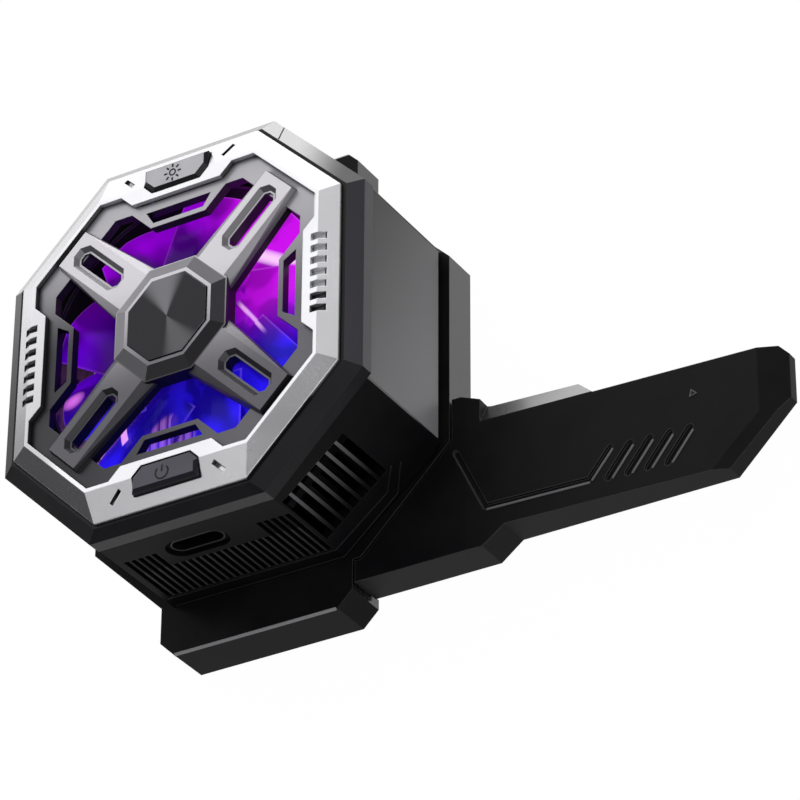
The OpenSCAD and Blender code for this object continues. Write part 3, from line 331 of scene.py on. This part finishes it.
def gunmetal_coat(name):
    p = Paint(name, Metallic=0.5)
    x, y, z = p.xyz()
    nx, ny, nz = p.facing()
    cloud = p.noise(12, 2)
    grain = p.noise(0.09, 2)
    # Painted light: the ring and the spokes are lighter towards the top, the ring also towards the right
    up = y + 0.1 * x + 3 * (cloud - 0.5)
    ring = p.mix(x.ramp(-16, 20), (0.030, 0.029, 0.035), (0.13, 0.125, 0.14))
    ring = p.mix(up.ramp(-2, 20), ring, (0.48, 0.47, 0.50))
    spoke = p.mix(up.ramp(-12, 10), (0.105, 0.10, 0.115), (0.70, 0.68, 0.72))
    colour = p.mix(z.ramp(33.1, 33.5), ring, spoke)
    out = (x * x + y * y) ** 0.5
    # Sloped collar round the hub cap, with painted light: lighter where it faces the top and the left
    collar = (0.97 - nz).ramp(0, 0.02) * nz.ramp(0.3, 0.5)
    collar = collar * (11.6 - out).ramp(0, 0.3) * z.ramp(34.0, 34.1)
    turned = (ny * 0.8 - nx * 0.6).ramp(-0.35, 0.5)
    colour = p.mix(collar, colour, p.mix(turned, (0.014, 0.013, 0.016), (0.26, 0.25, 0.275)))
    colour = p.mix(grain * 0.2, colour, (0.02, 0.02, 0.022))
    # Painted highlight along the edges, paler towards the top
    edge = p.mix(up.ramp(-14, 16), (0.17, 0.165, 0.18), (0.78, 0.76, 0.80))
    colour = p.mix(p.edge_mask(0.14) * 0.5, colour, edge)
    # Walls of the grille are dark; the lower slopes and the hollows get painted shade
    wall = 1 - nz.ramp(0.15, 0.4)
    colour = p.mix(wall * 0.95, colour, (0.008, 0.007, 0.010))
    slope = nz.ramp(0.3, 0.4) * (0.9 - nz).ramp(0, 0.05) * (1 - collar)
    colour = p.mix(slope * (0.25 + 0.5 * (0.1 - ny).ramp(-0.3, 0.5)), colour, (0.012, 0.011, 0.014))
    open_air = p.hollow(1.2).ramp(0.45, 0.78)
    colour = p.mix((1 - open_air) * 0.9, colour, (0.006, 0.006, 0.008))
    # The part that shows through the bezel's upper dashes
    under_dash = (x - 23.8).ramp(0, 0.1) * (y + 2.9).ramp(0, 0.3)
    colour = p.mix(under_dash, colour, (0.78, 0.78, 0.80))
    normal = p.bump(grain, 0.12, 0.01, p.soft_edges(0.14))
    roughness = 0.36 + 0.1 * (cloud - 0.5) + 0.12 * (grain - 0.5)
    return p.set(Base_Color=colour, Roughness=roughness, Normal=normal)


def spun_metal(name):
    p = Paint(name, Metallic=0.9)
    x, y, z = p.xyz()
    angle = x.maths("ARCTAN2", y, x)
    around = p.node("ShaderNodeCombineXYZ", {}, {0: angle * 0.05, 1: (x * x + y * y) ** 0.5 * 9, 2: 0.0})
    rings = p.node("ShaderNodeTexNoise", {}, {"Vector": around, "Scale": 1.0, "Detail": 2.0})
    # Painted highlights on the hub: one band above and one at the lower right
    turned = angle - 1.72
    top = turned.maths("COSINE", turned).ramp(0.80, 1.0)
    turned = angle + 1.15
    bottom = turned.maths("COSINE", turned).ramp(0.86, 1.0)
    shine = (top * 0.75 + bottom * 0.4 + 0.12 * (rings - 0.5)).clamp()
    colour = p.mix(shine, (0.020, 0.020, 0.023), (0.18, 0.18, 0.19))
    # Painted highlight along the edges
    colour = p.mix(p.edge_mask(0.15) * 0.6, colour, (0.35, 0.35, 0.37))
    normal = p.bump(rings, 0.2, 0.02, p.soft_edges(0.15))
    return p.set(Base_Color=colour, Roughness=0.34 + 0.15 * (rings - 0.5), Normal=normal)


def button_coat(name, face, side):
    p = Paint(name, Metallic=0.35)
    nx, ny, nz = p.facing()
    grain = p.noise(0.1, 2)
    cloud = p.noise(5, 2)
    colour = p.mix(cloud.ramp(0.3, 0.7), [c * 0.92 for c in face], [c * 1.06 for c in face])
    colour = p.mix(1 - nz.ramp(0.85, 0.97), colour, side)
    normal = p.bump(grain, 0.15, 0.01, p.soft_edges(0.12))
    return p.set(Base_Color=colour, Roughness=0.42 + 0.15 * (grain - 0.5), Normal=normal)


def brushed(name, colour, rough, along):
    p = Paint(name, Metallic=1.0)
    lines = p.noise(0.15, 3, along)
    spots = p.noise(3, 2)
    dark = [c * 0.75 for c in colour]
    bright = [min(1, c * 1.2) for c in colour]
    shade = p.mix(lines * 0.6 + spots * 0.4, dark, bright)
    roughness = rough + 0.2 * (lines - 0.5)
    return p.set(Base_Color=shade, Roughness=roughness, Normal=p.bump(lines, 0.2, 0.01))


def lit_fins(name):
    p = Paint(name, Metallic=0.6, Emission_Strength=1.0)
    x, y, z = p.xyz()
    lines = p.noise(0.15, 3, (1, 1, 8))
    out = (x * x + y * y) ** 0.5
    # Painted light and shade: the fin tops take a pink tint and a painted glow from the fan's lights,
    # and the fins outside the duct are painted near black
    inside = 1 - out.ramp(24.2, 25.5)
    shade = p.mix(lines, (0.42, 0.40, 0.43), (0.60, 0.57, 0.61))
    shade = p.mix(z.ramp(17, 20), shade, (0.95, 0.62, 0.90))
    shade = p.mix(1 - inside, shade, (0.004, 0.004, 0.005))
    glow = z.ramp(18.6, 19.9) * inside * (0.6 + 0.4 * lines)
    light = p.mix(glow, (0.0, 0.0, 0.0), (0.62, 0.24, 0.66))
    roughness = 0.35 + 0.2 * (lines - 0.5)
    normal = p.bump(lines, 0.2, 0.01)
    return p.set(Base_Color=shade, Emission_Color=light, Roughness=roughness, Normal=normal)


def port_steel(name):
    p = Paint(name, Metallic=0.8)
    lines = p.noise(0.15, 3, (1, 8, 1))
    colour = p.mix(lines, (0.010, 0.010, 0.011), (0.020, 0.020, 0.022))
    # Painted highlight along the edges
    colour = p.mix(p.edge_mask(0.1) * 0.5, colour, (0.07, 0.07, 0.072))
    return p.set(Base_Color=colour, Roughness=0.35 + 0.2 * (lines - 0.5), Normal=p.soft_edges(0.1))


# Finishes of the rubber, the boards and the lit pieces

def silicone(name, colour, rough=0.75):
    p = Paint(name, Specular_IOR_Level=0.3, Sheen_Weight=0.1)
    cloud = p.noise(4, 3)
    grain = p.noise(0.2, 2)
    shade = p.mix(cloud, [c * 0.8 for c in colour], [c * 1.25 for c in colour])
    roughness = rough + 0.15 * (grain - 0.5)
    return p.set(Base_Color=shade, Roughness=roughness, Normal=p.bump(grain, 0.4, 0.03))


def board(name):
    p = Paint(name)
    borders = {"feature": "DISTANCE_TO_EDGE"}
    cells = p.node("ShaderNodeTexVoronoi", borders, {"Vector": p.place(), "Scale": 900.0})
    track = cells < 0.05
    colour = p.mix(track, (0.012, 0.09, 0.04), (0.03, 0.2, 0.09))
    return p.set(Base_Color=colour, Roughness=0.3 + 0.2 * p.noise(0.5), Normal=p.bump(track, 0.3, 0.02))


def glowing_blades(name):
    p = Paint(name, Emission_Strength=1.0, Specular_IOR_Level=0.06)
    x, y, z = p.xyz()
    out = (x * x + y * y) ** 0.5
    # Painted light streaks that run outwards along the blades; they also vary the roughness
    around = {0: x / out * 3.2, 1: y / out * 3.2, 2: out * 0.12 + z * 0.1}
    around = p.node("ShaderNodeCombineXYZ", {}, around)
    glow_and_rough_streaks = p.node("ShaderNodeTexNoise", {}, {"Vector": around, "Scale": 1.0, "Detail": 1.0})
    glow_and_rough_streaks = glow_and_rough_streaks.ramp(0.40, 0.60)
    high = z.ramp(21.5, 29.2)
    # Painted glow colours: violet above and on the left, magenta on the right, blue below
    upper = y.ramp(2, 14)
    low = (y * -0.95 + x * 0.12).ramp(-1, 10)
    right = (x * 0.95 + y * 0.1).ramp(2, 12) * (1 - low * 0.8)
    colour = p.mix(upper, (0.10, 0.0, 0.58), (0.25, 0.0, 0.58))
    colour = p.mix(right, colour, (0.60, 0.006, 0.82))
    colour = p.mix(low, colour, (0.02, 0.008, 0.88))
    # Painted glow level: brighter on the upper part of the blades, towards their outer ends and on the
    # right, with painted shade towards the hub
    near = (out.ramp(13.5, 21.5) + 0.7 * right + 0.35 * low).clamp()
    level = ((0.25 + 0.75 * glow_and_rough_streaks) * (0.4 + 0.6 * high) + 0.4 * right).clamp() * (0.12 + 0.88 * near)
    colour = p.mix(1 - level, colour, p.mix(low, (0.006, 0.0, 0.05), (0.002, 0.0, 0.09)))
    rim_light = p.edge_mask(0.6) * out.ramp(11.5, 13) * (0.15 + 0.3 * low + 0.2 * right)
    colour = p.mix(rim_light, colour, p.mix(low, (0.75, 0.15, 1.0), (0.22, 0.10, 1.0)))
    # Painted highlights: a pale band and a streak on the right
    across = y + 0.465 * (x - 12.3) - 9.95
    band = (1 - across * across / 1.7).clamp() * x.ramp(8, 11)
    colour = p.mix(band, colour, (1.0, 0.60, 1.0))
    across = (x - 8.5) * 0.812 + (y - 2.9) * 0.584
    along = (x - 8.5) * 0.584 - (y - 2.9) * 0.812
    streak = (1 - across * across / 0.16).clamp() * along.ramp(0, 2) * (9 - along).ramp(0, 3)
    colour = p.mix(streak * 0.75, colour, (0.95, 0.5, 1.0))
    # Two painted pink glints on the left
    across = (x + 12.3) * 0.89 + (y + 12.7) * 0.46
    along = (x + 12.3) * 0.46 - (y + 12.7) * 0.89
    chip_light = (1 - across * across / 0.6).clamp().ramp(0, 0.5)
    chip_light = chip_light * (1 - along * along / 4.5).clamp().ramp(0, 0.4)
    colour = p.mix(chip_light * 0.9, colour, (0.90, 0.40, 1.0))
    away = (x + 21.2) * (x + 21.2) + (y + 4.2) * (y + 4.2)
    colour = p.mix((1 - away / 4.5).clamp() * 0.85, colour, (0.80, 0.18, 0.90))
    # A clearer place where the fins show through
    away = (x + 3.5) * (x + 3.5) + (y + 17) * (y + 17)
    clear = 0.97 - 0.6 * (1 - away / 25).clamp().ramp(0, 0.5)
    tint = p.mix(low, (0.05, 0.0, 0.14), (0.01, 0.005, 0.16))
    return p.set(Base_Color=tint, Emission_Color=colour, Alpha=clear, Roughness=0.25 + 0.15 * glow_and_rough_streaks)


def light_chips(name):
    p = Paint(name, Emission_Strength=1.0, Specular_IOR_Level=0.3)
    x, y, z = p.xyz()
    chip_light = z.ramp(30.83, 30.88)
    grain = p.noise(0.2, 2)
    colour = p.mix(chip_light, (0.006, 0.006, 0.007), (0.5, 0.45, 0.55))
    # Painted highlight along the edges
    colour = p.mix(p.edge_mask(0.2) * 0.5, colour, (0.2, 0.2, 0.21))
    light = p.mix(chip_light, (0, 0, 0), (0.10, 0.01, 0.22))
    return p.set(Base_Color=colour, Emission_Color=light, Roughness=0.4 + 0.2 * grain)


finishes = {
    "base_black": black_plastic("base_black", 0.007, 0.52),
    "arm_black": arm_plastic("arm_black"),
    "body_black": vented_plastic("body_black"),
    "rim_black": rim_plastic("rim_black"),
    "frame_black": black_plastic("frame_black", 0.007, 0.55, 0.03),
    "panel_grey": panel_plastic("panel_grey"),
    "silver": silver_coat("silver"),
    "gunmetal": gunmetal_coat("gunmetal"),
    "hub_metal": spun_metal("hub_metal"),
    "button_light": button_coat("button_light", (0.46, 0.46, 0.48), (0.014, 0.014, 0.016)),
    "button_dark": button_coat("button_dark", (0.062, 0.058, 0.078), (0.018, 0.016, 0.023)),
    "silicone": silicone("silicone", (0.04, 0.04, 0.043)),
    "thermal_silicone": silicone("thermal_silicone", (0.25, 0.27, 0.29)),
    "foam": silicone("foam", (0.02, 0.02, 0.022), 0.9),
    "steel": brushed("steel", (0.55, 0.56, 0.58), 0.3, (1, 6, 1)),
    "screw_steel": brushed("screw_steel", (0.22, 0.23, 0.25), 0.35, (1, 5, 1)),
    "socket_steel": port_steel("socket_steel"),
    "cold_aluminium": brushed("cold_aluminium", (0.6, 0.61, 0.63), 0.32, (8, 1, 1)),
    "sink_aluminium": lit_fins("sink_aluminium"),
    "core_steel": brushed("core_steel", (0.3, 0.31, 0.33), 0.45, (1, 1, 12)),
    "bearing_brass": brushed("bearing_brass", (0.5, 0.3, 0.09), 0.4, (1, 1, 4)),
    "coil_copper": brushed("coil_copper", (0.5, 0.17, 0.05), 0.35, (1, 1, 10)),
    "magnet_grey": silicone("magnet_grey", (0.06, 0.06, 0.065), 0.6),
    "ceramic": silicone("ceramic", (0.75, 0.74, 0.7), 0.5),
    "board_green": board("board_green"),
    "rotor_clear": glowing_blades("rotor_clear"),
    "light_board": light_chips("light_board"),
}
for part in frame["record"]["subparts"]:
    shown = nodes[part["node"]]
    shown.data.materials.clear()
    shown.data.materials.append(finishes[part["material_slot"]])


# Modelling helpers

def alone(piece):
    bpy.ops.object.select_all(action="DESELECT")
    piece.select_set(True)
    bpy.context.view_layer.objects.active = piece


def edit(piece, select="FACE"):
    alone(piece)
    bpy.ops.object.mode_set(mode="EDIT")
    bpy.ops.mesh.select_mode(type=select)
    bpy.ops.mesh.select_all(action="SELECT")


def choose(piece, kind, test):
    bpy.ops.mesh.select_all(action="DESELECT")
    mesh = bmesh.from_edit_mesh(piece.data)
    for item in mesh.faces if kind == "faces" else mesh.edges:
        if test(item):
            item.select_set(True)
    bmesh.update_edit_mesh(piece.data)


def close_up(piece):
    edit(piece)
    bpy.ops.mesh.remove_doubles(threshold=0.002 * MM)
    bpy.ops.mesh.normals_make_consistent(inside=False)
    bpy.ops.object.mode_set(mode="OBJECT")


def round_off(piece, width_mm, segments=2, angle=40):
    alone(piece)
    bevel = piece.modifiers.new("edges", "BEVEL")
    bevel.width = width_mm * MM
    bevel.segments = segments
    bevel.limit_method = "ANGLE"
    bevel.angle_limit = math.radians(angle)
    bpy.ops.object.modifier_apply(modifier=bevel.name)
    bpy.ops.object.shade_smooth_by_angle(angle=math.radians(35))


def block(low, high):
    bpy.ops.object.select_all(action="DESELECT")
    low = Vector(low)
    high = Vector(high)
    bpy.ops.mesh.primitive_cube_add(size=1, location=(low + high) / 2)
    piece = bpy.context.object
    piece.scale = high - low
    bpy.ops.object.transform_apply(location=True, rotation=True, scale=True)
    return piece


def bar(a, b, width_mm, height_mm, up):
    along = (b - a).normalized()
    side = Vector(up).cross(along).normalized()
    over = along.cross(side)
    half = Vector(((b - a).length, width_mm * MM, height_mm * MM)) / 2
    piece = block(-half, half)
    round_off(piece, min(width_mm, height_mm) * 0.3)
    turn = Matrix((along, side, over)).transposed().to_4x4()
    piece.matrix_world = Matrix.Translation((a + b) / 2) @ turn
    alone(piece)
    bpy.ops.object.transform_apply(location=True, rotation=True, scale=True)
    return piece


def join(pieces):
    alone(pieces[0])
    for piece in pieces:
        piece.select_set(True)
    bpy.ops.object.join()
    return pieces[0]


def hand_in(piece, name, slot, body):
    piece.name = name
    piece.data.name = name
    piece.data.materials.clear()
    piece.data.materials.append(finishes[slot])
    if body:
        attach(piece, body)
    return piece


def mm(x, y, z):
    return Vector((x, y, z)) * MM


# Marks on the buttons and the arm

ICON_RISE = 0.06


def icon_ring(centre, radius, width, gap_from=None):
    bpy.ops.object.select_all(action="DESELECT")
    bpy.ops.mesh.primitive_circle_add(vertices=40, radius=radius * MM, fill_type="NGON", location=centre)
    ring = bpy.context.object
    bpy.ops.object.transform_apply(location=True, rotation=True, scale=True)
    edit(ring)
    bpy.ops.mesh.inset(thickness=width * MM, depth=0)
    bpy.ops.mesh.delete(type="FACE")
    if gap_from is not None:
        choose(ring, "faces", lambda f: (f.calc_center_median() - centre).y > gap_from * MM)
        bpy.ops.mesh.delete(type="FACE")
    bpy.ops.mesh.select_all(action="SELECT")
    bpy.ops.mesh.extrude_region_move(TRANSFORM_OT_translate={"value": (0, 0, ICON_RISE * MM)})
    bpy.ops.object.mode_set(mode="OBJECT")
    close_up(ring)
    return ring


def sun_icon():
    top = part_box("light_button")[1][2]
    centre = Vector((-0.4 * MM, 25.85 * MM, top - 0.02 * MM))
    ring = icon_ring(centre, 0.62, 0.22)
    ray = bar(centre + mm(0, 0.92, 0.03), centre + mm(0, 1.5, 0.03), 0.3, ICON_RISE, (0, 0, 1))
    edit(ray)
    bpy.ops.mesh.spin(steps=8, dupli=True, angle=math.tau, center=centre, axis=(0, 0, 1))
    bpy.ops.object.mode_set(mode="OBJECT")
    close_up(ray)
    hand_in(join([ring, ray]), "sun_icon", "rim_black", "light_key")


def power_icon():
    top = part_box("power_button")[1][2]
    centre = Vector((-0.25 * MM, -25.95 * MM, top - 0.02 * MM))
    ring = icon_ring(centre, 1.2, 0.27, 0.75)
    stem = bar(centre + mm(0, 0.1, 0.03), centre + mm(0, 1.35, 0.03), 0.27, ICON_RISE, (0, 0, 1))
    hand_in(join([ring, stem]), "power_icon", "rim_black", "power_key")


def arm_arrow():
    arm = nodes["side_arm"]
    hit, centre, normal, face = arm.ray_cast(mm(69.7, -18.9, 60), Vector((0, 0, -1)))
    bpy.ops.object.select_all(action="DESELECT")
    bpy.ops.mesh.primitive_cylinder_add(vertices=3, radius=0.78 * MM, depth=0.18 * MM)
    arrow = bpy.context.object
    edit(arrow)
    choose(arrow, "faces", lambda f: f.normal.z > 0.9)
    bpy.ops.mesh.inset(thickness=0.16 * MM, depth=-0.05 * MM)
    bpy.ops.object.mode_set(mode="OBJECT")
    along = Vector((1, -0.25, 0))
    along = (along - normal * along.dot(normal)).normalized()
    side = normal.cross(along)
    turn = Matrix((side * -1, along, normal)).transposed().to_4x4()
    arrow.matrix_world = Matrix.Translation(centre) @ turn
    alone(arrow)
    bpy.ops.object.transform_apply(location=True, rotation=True, scale=True)
    close_up(arrow)
    hand_in(arrow, "arm_arrow", "arm_black", "arm")


def slash_lips():
    arm = nodes["side_arm"]
    face = Vector((0.052, 0, 0.999))

    def on_face(place):
        hit, spot, normal, index = arm.ray_cast(mm(place.x, place.y, 60), Vector((0, 0, -1)))
        return spot + mm(0, 0, 0.02)

    def lip(x0, y0, x1, y1, half):
        start = Vector((x0, y0, 0))
        end = Vector((x1, y1, 0))
        along = (end - start).normalized()
        aside = Vector((along.y, -along.x, 0)) * (half + 0.12)
        return bar(on_face(start + aside), on_face(end + aside), 0.38, 0.18, face)

    x = 53.3
    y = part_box("side_arm")[0][1] / MM + 6.4
    line_half = 0.45
    slash_half = 0.585
    slash_pitch = 3.1
    lips = [lip(x - 16.2, y, x + 0.2, y, line_half), lip(x, y, x + 3.4, y + 4.4, line_half)]
    for count in range(1, 5):
        left = x + slash_pitch * count
        lips.append(lip(left, y - 0.4, left + 3.4, y + 4.2, slash_half))
    hand_in(join(lips), "slash_lips", "arm_black", "arm")


def rim_seam():
    seam = bar(mm(16.8, 30.02, 30.55), mm(16.75, 27.15, 31.98), 0.2, 0.1, (0.40, 0.40, 0.83))
    hand_in(seam, "rim_seam", "frame_black", "housing")


def vent_trim():
    wall = (0, -1, 0)
    corner = (0.645, -0.765, 0)
    beads = []
    width, height = 0.24, 0.2
    # The lower bead stands in for a highlight along the foot of the wall
    upper_line = 9.3, mm(22.1, -23.33, 9.1), mm(24.6, -21.22, 12.2)
    lower_line = 6.95, mm(22.8, -22.75, 7.3), mm(25.6, -20.39, 11.2)
    for low, turn_at, rise in (upper_line, lower_line):
        foot = mm(13.6, -30.5, low)
        beads.append(bar(mm(-15.6, -30.5, low), foot, width, height, wall))
        beads.append(bar(foot, turn_at, width, height, corner))
        beads.append(bar(turn_at, rise, width, height, corner))
    hand_in(join(beads), "vent_trim", "rim_black", "housing")


def lobe_ridge():
    low = Vector(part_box("base_plate")[0])
    left = Vector((-15.9 * MM, low.y, 6.58 * MM))
    right = Vector((12.1 * MM, low.y, 6.58 * MM))
    # The bead takes the pale panel finish as a painted highlight on the lobe's ridge
    bead = bar(left, right, 0.5, 0.25, (0, -0.7, 0.7))
    hand_in(bead, "lobe_ridge", "panel_grey", "housing")


# Rubber pads and foam in place of the plain solids

GRIP_BORDER = 0.5 * MM
GROOVE_DEPTH = 0.22 * MM


def edge_line(edge):
    return (edge.verts[0].co - edge.verts[1].co).normalized()


def ribbed_pad(node, name, slot, body, face, ribs, across):
    low, high = [Vector(v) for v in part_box(node)]
    out = Vector(face)
    line = Vector(across)
    bands = 2 * ribs + 1
    pad = block(low, high)
    edit(pad)
    choose(pad, "faces", lambda f: f.normal.dot(out) > 0.9)
    bpy.ops.mesh.inset(thickness=GRIP_BORDER, depth=0)
    inner = [f for f in bmesh.from_edit_mesh(pad.data).faces if f.select][0]
    ends = [e.index for e in inner.edges if abs(edge_line(e).dot(line)) > 0.9]
    bpy.ops.mesh.select_mode(type="EDGE")
    choose(pad, "edges", lambda e: e.index in ends)
    bpy.ops.mesh.subdivide(number_cuts=bands - 1)
    bpy.ops.mesh.select_mode(type="FACE")
    size = (high - low).dot(line) - 2 * GRIP_BORDER
    first = (low + high).dot(line) / 2 - size / 2
    step = size / bands

    def groove(f):
        place = (f.calc_center_median().dot(line) - first) / step
        return f.normal.dot(out) > 0.9 and 0 < place < bands and int(place) % 2 == 1

    choose(pad, "faces", groove)
    bpy.ops.mesh.extrude_region_move(TRANSFORM_OT_translate={"value": out * -GROOVE_DEPTH})
    bpy.ops.object.mode_set(mode="OBJECT")
    close_up(pad)
    round_off(pad, 0.1)
    hand_in(pad, name, slot, body)
    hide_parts(node)


def thermal_sheet():
    low, high = [Vector(v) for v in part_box("thermal_pad")]
    pad = block(low, high)
    edit(pad, "EDGE")
    choose(pad, "edges", lambda e: abs(edge_line(e).z) > 0.9)
    bpy.ops.mesh.bevel(offset=2.2 * MM, segments=6, affect="EDGES")
    bpy.ops.mesh.select_mode(type="FACE")
    choose(pad, "faces", lambda f: f.normal.z < -0.9)
    bpy.ops.mesh.inset(thickness=1.1 * MM, depth=0)
    bpy.ops.mesh.inset(thickness=0.25 * MM, depth=-0.12 * MM)
    bpy.ops.mesh.inset(thickness=0.25 * MM, depth=0.12 * MM)
    bpy.ops.object.mode_set(mode="OBJECT")
    close_up(pad)
    round_off(pad, 0.12)
    hand_in(pad, "thermal_sheet", "thermal_silicone", "housing")
    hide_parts("thermal_pad")


def foam_ring():
    low, high = [Vector(v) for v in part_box("foam_gasket")]
    module_low, module_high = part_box("cooling_module")
    inner = (module_high[0] - module_low[0]) / 2 + 0.3 * MM
    bpy.ops.object.select_all(action="DESELECT")
    bpy.ops.mesh.primitive_plane_add(size=high.x - low.x, location=(0, 0, low.z))
    ring = bpy.context.object
    bpy.ops.object.transform_apply(location=True, rotation=True, scale=True)
    edit(ring)
    bpy.ops.mesh.inset(thickness=high.x - inner, depth=0)
    bpy.ops.mesh.delete(type="FACE")
    bpy.ops.mesh.select_all(action="SELECT")
    bpy.ops.mesh.extrude_region_move(TRANSFORM_OT_translate={"value": (0, 0, high.z - low.z)})
    bpy.ops.object.mode_set(mode="OBJECT")
    close_up(ring)
    round_off(ring, 0.25, 3)
    hand_in(ring, "foam_ring", "foam", "housing")
    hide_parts("foam_gasket")


# Coil springs in place of the plain jaw springs

WIRE = 0.45 * MM
SPRING_TURNS = 18


def coil(x, z, y0, y1, radius):
    bpy.ops.object.select_all(action="DESELECT")
    bpy.ops.mesh.primitive_circle_add(vertices=8, radius=WIRE / 2, location=(radius, 0, 0))
    piece = bpy.context.object
    bpy.ops.object.transform_apply(location=True, rotation=True, scale=True)
    screw = piece.modifiers.new("turns", "SCREW")
    screw.axis = "Y"
    screw.steps = 14
    screw.render_steps = 14
    screw.iterations = SPRING_TURNS
    screw.screw_offset = (y1 - y0 - WIRE) / SPRING_TURNS
    screw.use_merge_vertices = False
    bpy.ops.object.modifier_apply(modifier=screw.name)
    edit(piece, "EDGE")
    choose(piece, "edges", lambda e: e.is_boundary)
    bpy.ops.mesh.edge_face_add()
    bpy.ops.object.mode_set(mode="OBJECT")
    piece.location = (x, y0 + WIRE / 2, z)
    alone(piece)
    bpy.ops.object.transform_apply(location=True, rotation=True, scale=True)
    return piece


def spring_pair():
    low, high = [Vector(v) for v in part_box("jaw_springs")]
    reach = (high.z - low.z) / 2
    z = (low.z + high.z) / 2
    pair = [coil(x, z, low.y, high.y, reach - WIRE / 2) for x in (low.x + reach, high.x - reach)]
    springs = join(pair)
    close_up(springs)
    alone(springs)
    bpy.ops.object.shade_smooth_by_angle(angle=math.radians(50))
    hand_in(springs, "spring_pair", "steel", None)
    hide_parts("jaw_springs")
    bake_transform(springs)


sun_icon()
power_icon()
arm_arrow()
slash_lips()
rim_seam()
vent_trim()
lobe_ridge()
thermal_sheet()
ribbed_pad("lower_jaw_pad", "lower_grip", "silicone", "housing", (0, 1, 0), 4, (0, 0, 1))
ribbed_pad("upper_jaw_pad", "upper_grip", "silicone", "jaw", (0, -1, 0), 4, (0, 0, 1))
ribbed_pad("arm_pad", "arm_grip", "silicone", "arm", (0, 0, -1), 5, (0, 1, 0))
foam_ring()
spring_pair()


# Camera at the photograph's viewing angle

CAMERA_AT = Vector((0.303559, -0.339680, 0.472007))
CAMERA_RIGHT = Vector((0.857703, 0.004974, -0.514121))
CAMERA_DOWN = Vector((-0.265045, -0.852568, -0.450421))
CAMERA_AHEAD = Vector((-0.440563, 0.522593, -0.729932))
FOCAL_PIXELS = 4331.34
IMAGE_PIXELS = 800

bpy.ops.object.camera_add()
camera = bpy.context.object
camera.data.sensor_width = 36
camera.data.lens = FOCAL_PIXELS / IMAGE_PIXELS * 36
camera.data.clip_end = 20
turn = Matrix((CAMERA_RIGHT, -CAMERA_DOWN, -CAMERA_AHEAD)).transposed()
camera.matrix_world = Matrix.Translation(CAMERA_AT) @ turn.to_4x4()
bpy.context.scene.camera = camera


# Floor, lights and world

FLOOR_SHARE = 0.975
FLOOR_GLOW = 1.012

def softbox(name, towards, distance, width, height, level):
    direction = Vector(towards).normalized()
    bpy.ops.object.light_add(type="AREA", location=Vector((0, 0, 0.03)) + direction * distance)
    lamp = bpy.context.object
    lamp.name = name
    lamp.rotation_euler = direction.to_track_quat("Z", "Y").to_euler()
    lamp.data.shape = "RECTANGLE"
    lamp.data.size = width
    lamp.data.size_y = height
    lamp.data.energy = level * math.pi * width * height
    lamp.visible_camera = False


def white_floor():
    bpy.ops.object.select_all(action="DESELECT")
    bpy.ops.mesh.primitive_plane_add(size=8, location=(0, 0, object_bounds()[0][2] - 0.0001))
    floor = bpy.context.object
    floor.name = "floor"
    p = Paint("floor_white", Roughness=0.9, Specular_IOR_Level=0.0)
    p.shader.inputs["Base Color"].default_value = (0.85, 0.85, 0.85, 1)
    path = p.tree.nodes.new("ShaderNodeLightPath").outputs
    rays = [Socket(p, path["Is %s Ray" % kind]) for kind in ("Camera", "Glossy", "Transmission")]
    seen = (rays[0] + rays[1] + rays[2]).clamp() * FLOOR_SHARE
    glow = p.node("ShaderNodeEmission", {}, {0: (1, 1, 1, 1), 1: FLOOR_GLOW})
    blend = p.node("ShaderNodeMixShader", {}, {0: seen, 1: Socket(p, p.shader.outputs[0]), 2: glow})
    p.tree.links.new(blend.out, p.tree.nodes["Material Output"].inputs["Surface"])
    floor.data.materials.append(p.material)


def plain_world():
    world = bpy.data.worlds.new("studio")
    world.use_nodes = True
    bpy.context.scene.world = world
    background = world.node_tree.nodes["Background"].inputs
    background["Color"].default_value = (0.16, 0.16, 0.165, 1)
    background["Strength"].default_value = 1.0


white_floor()
plain_world()
softbox("back_box", (-0.48, 0.72, 0.48), 0.6, 0.95, 0.64, 1.33)
softbox("right_box", (0.32, 0.52, 0.79), 0.6, 0.25, 0.20, 0.75)
softbox("top_box", (-0.28, 0.09, 0.95), 0.6, 0.48, 0.32, 0.66)
softbox("horizon_box", (0.02, 0.98, 0.20), 0.6, 0.42, 0.16, 1.7)
softbox("front_box", (0.55, -0.42, 0.72), 0.95, 0.90, 0.90, 1.3)
bpy.context.scene.view_settings.view_transform = "Standard"
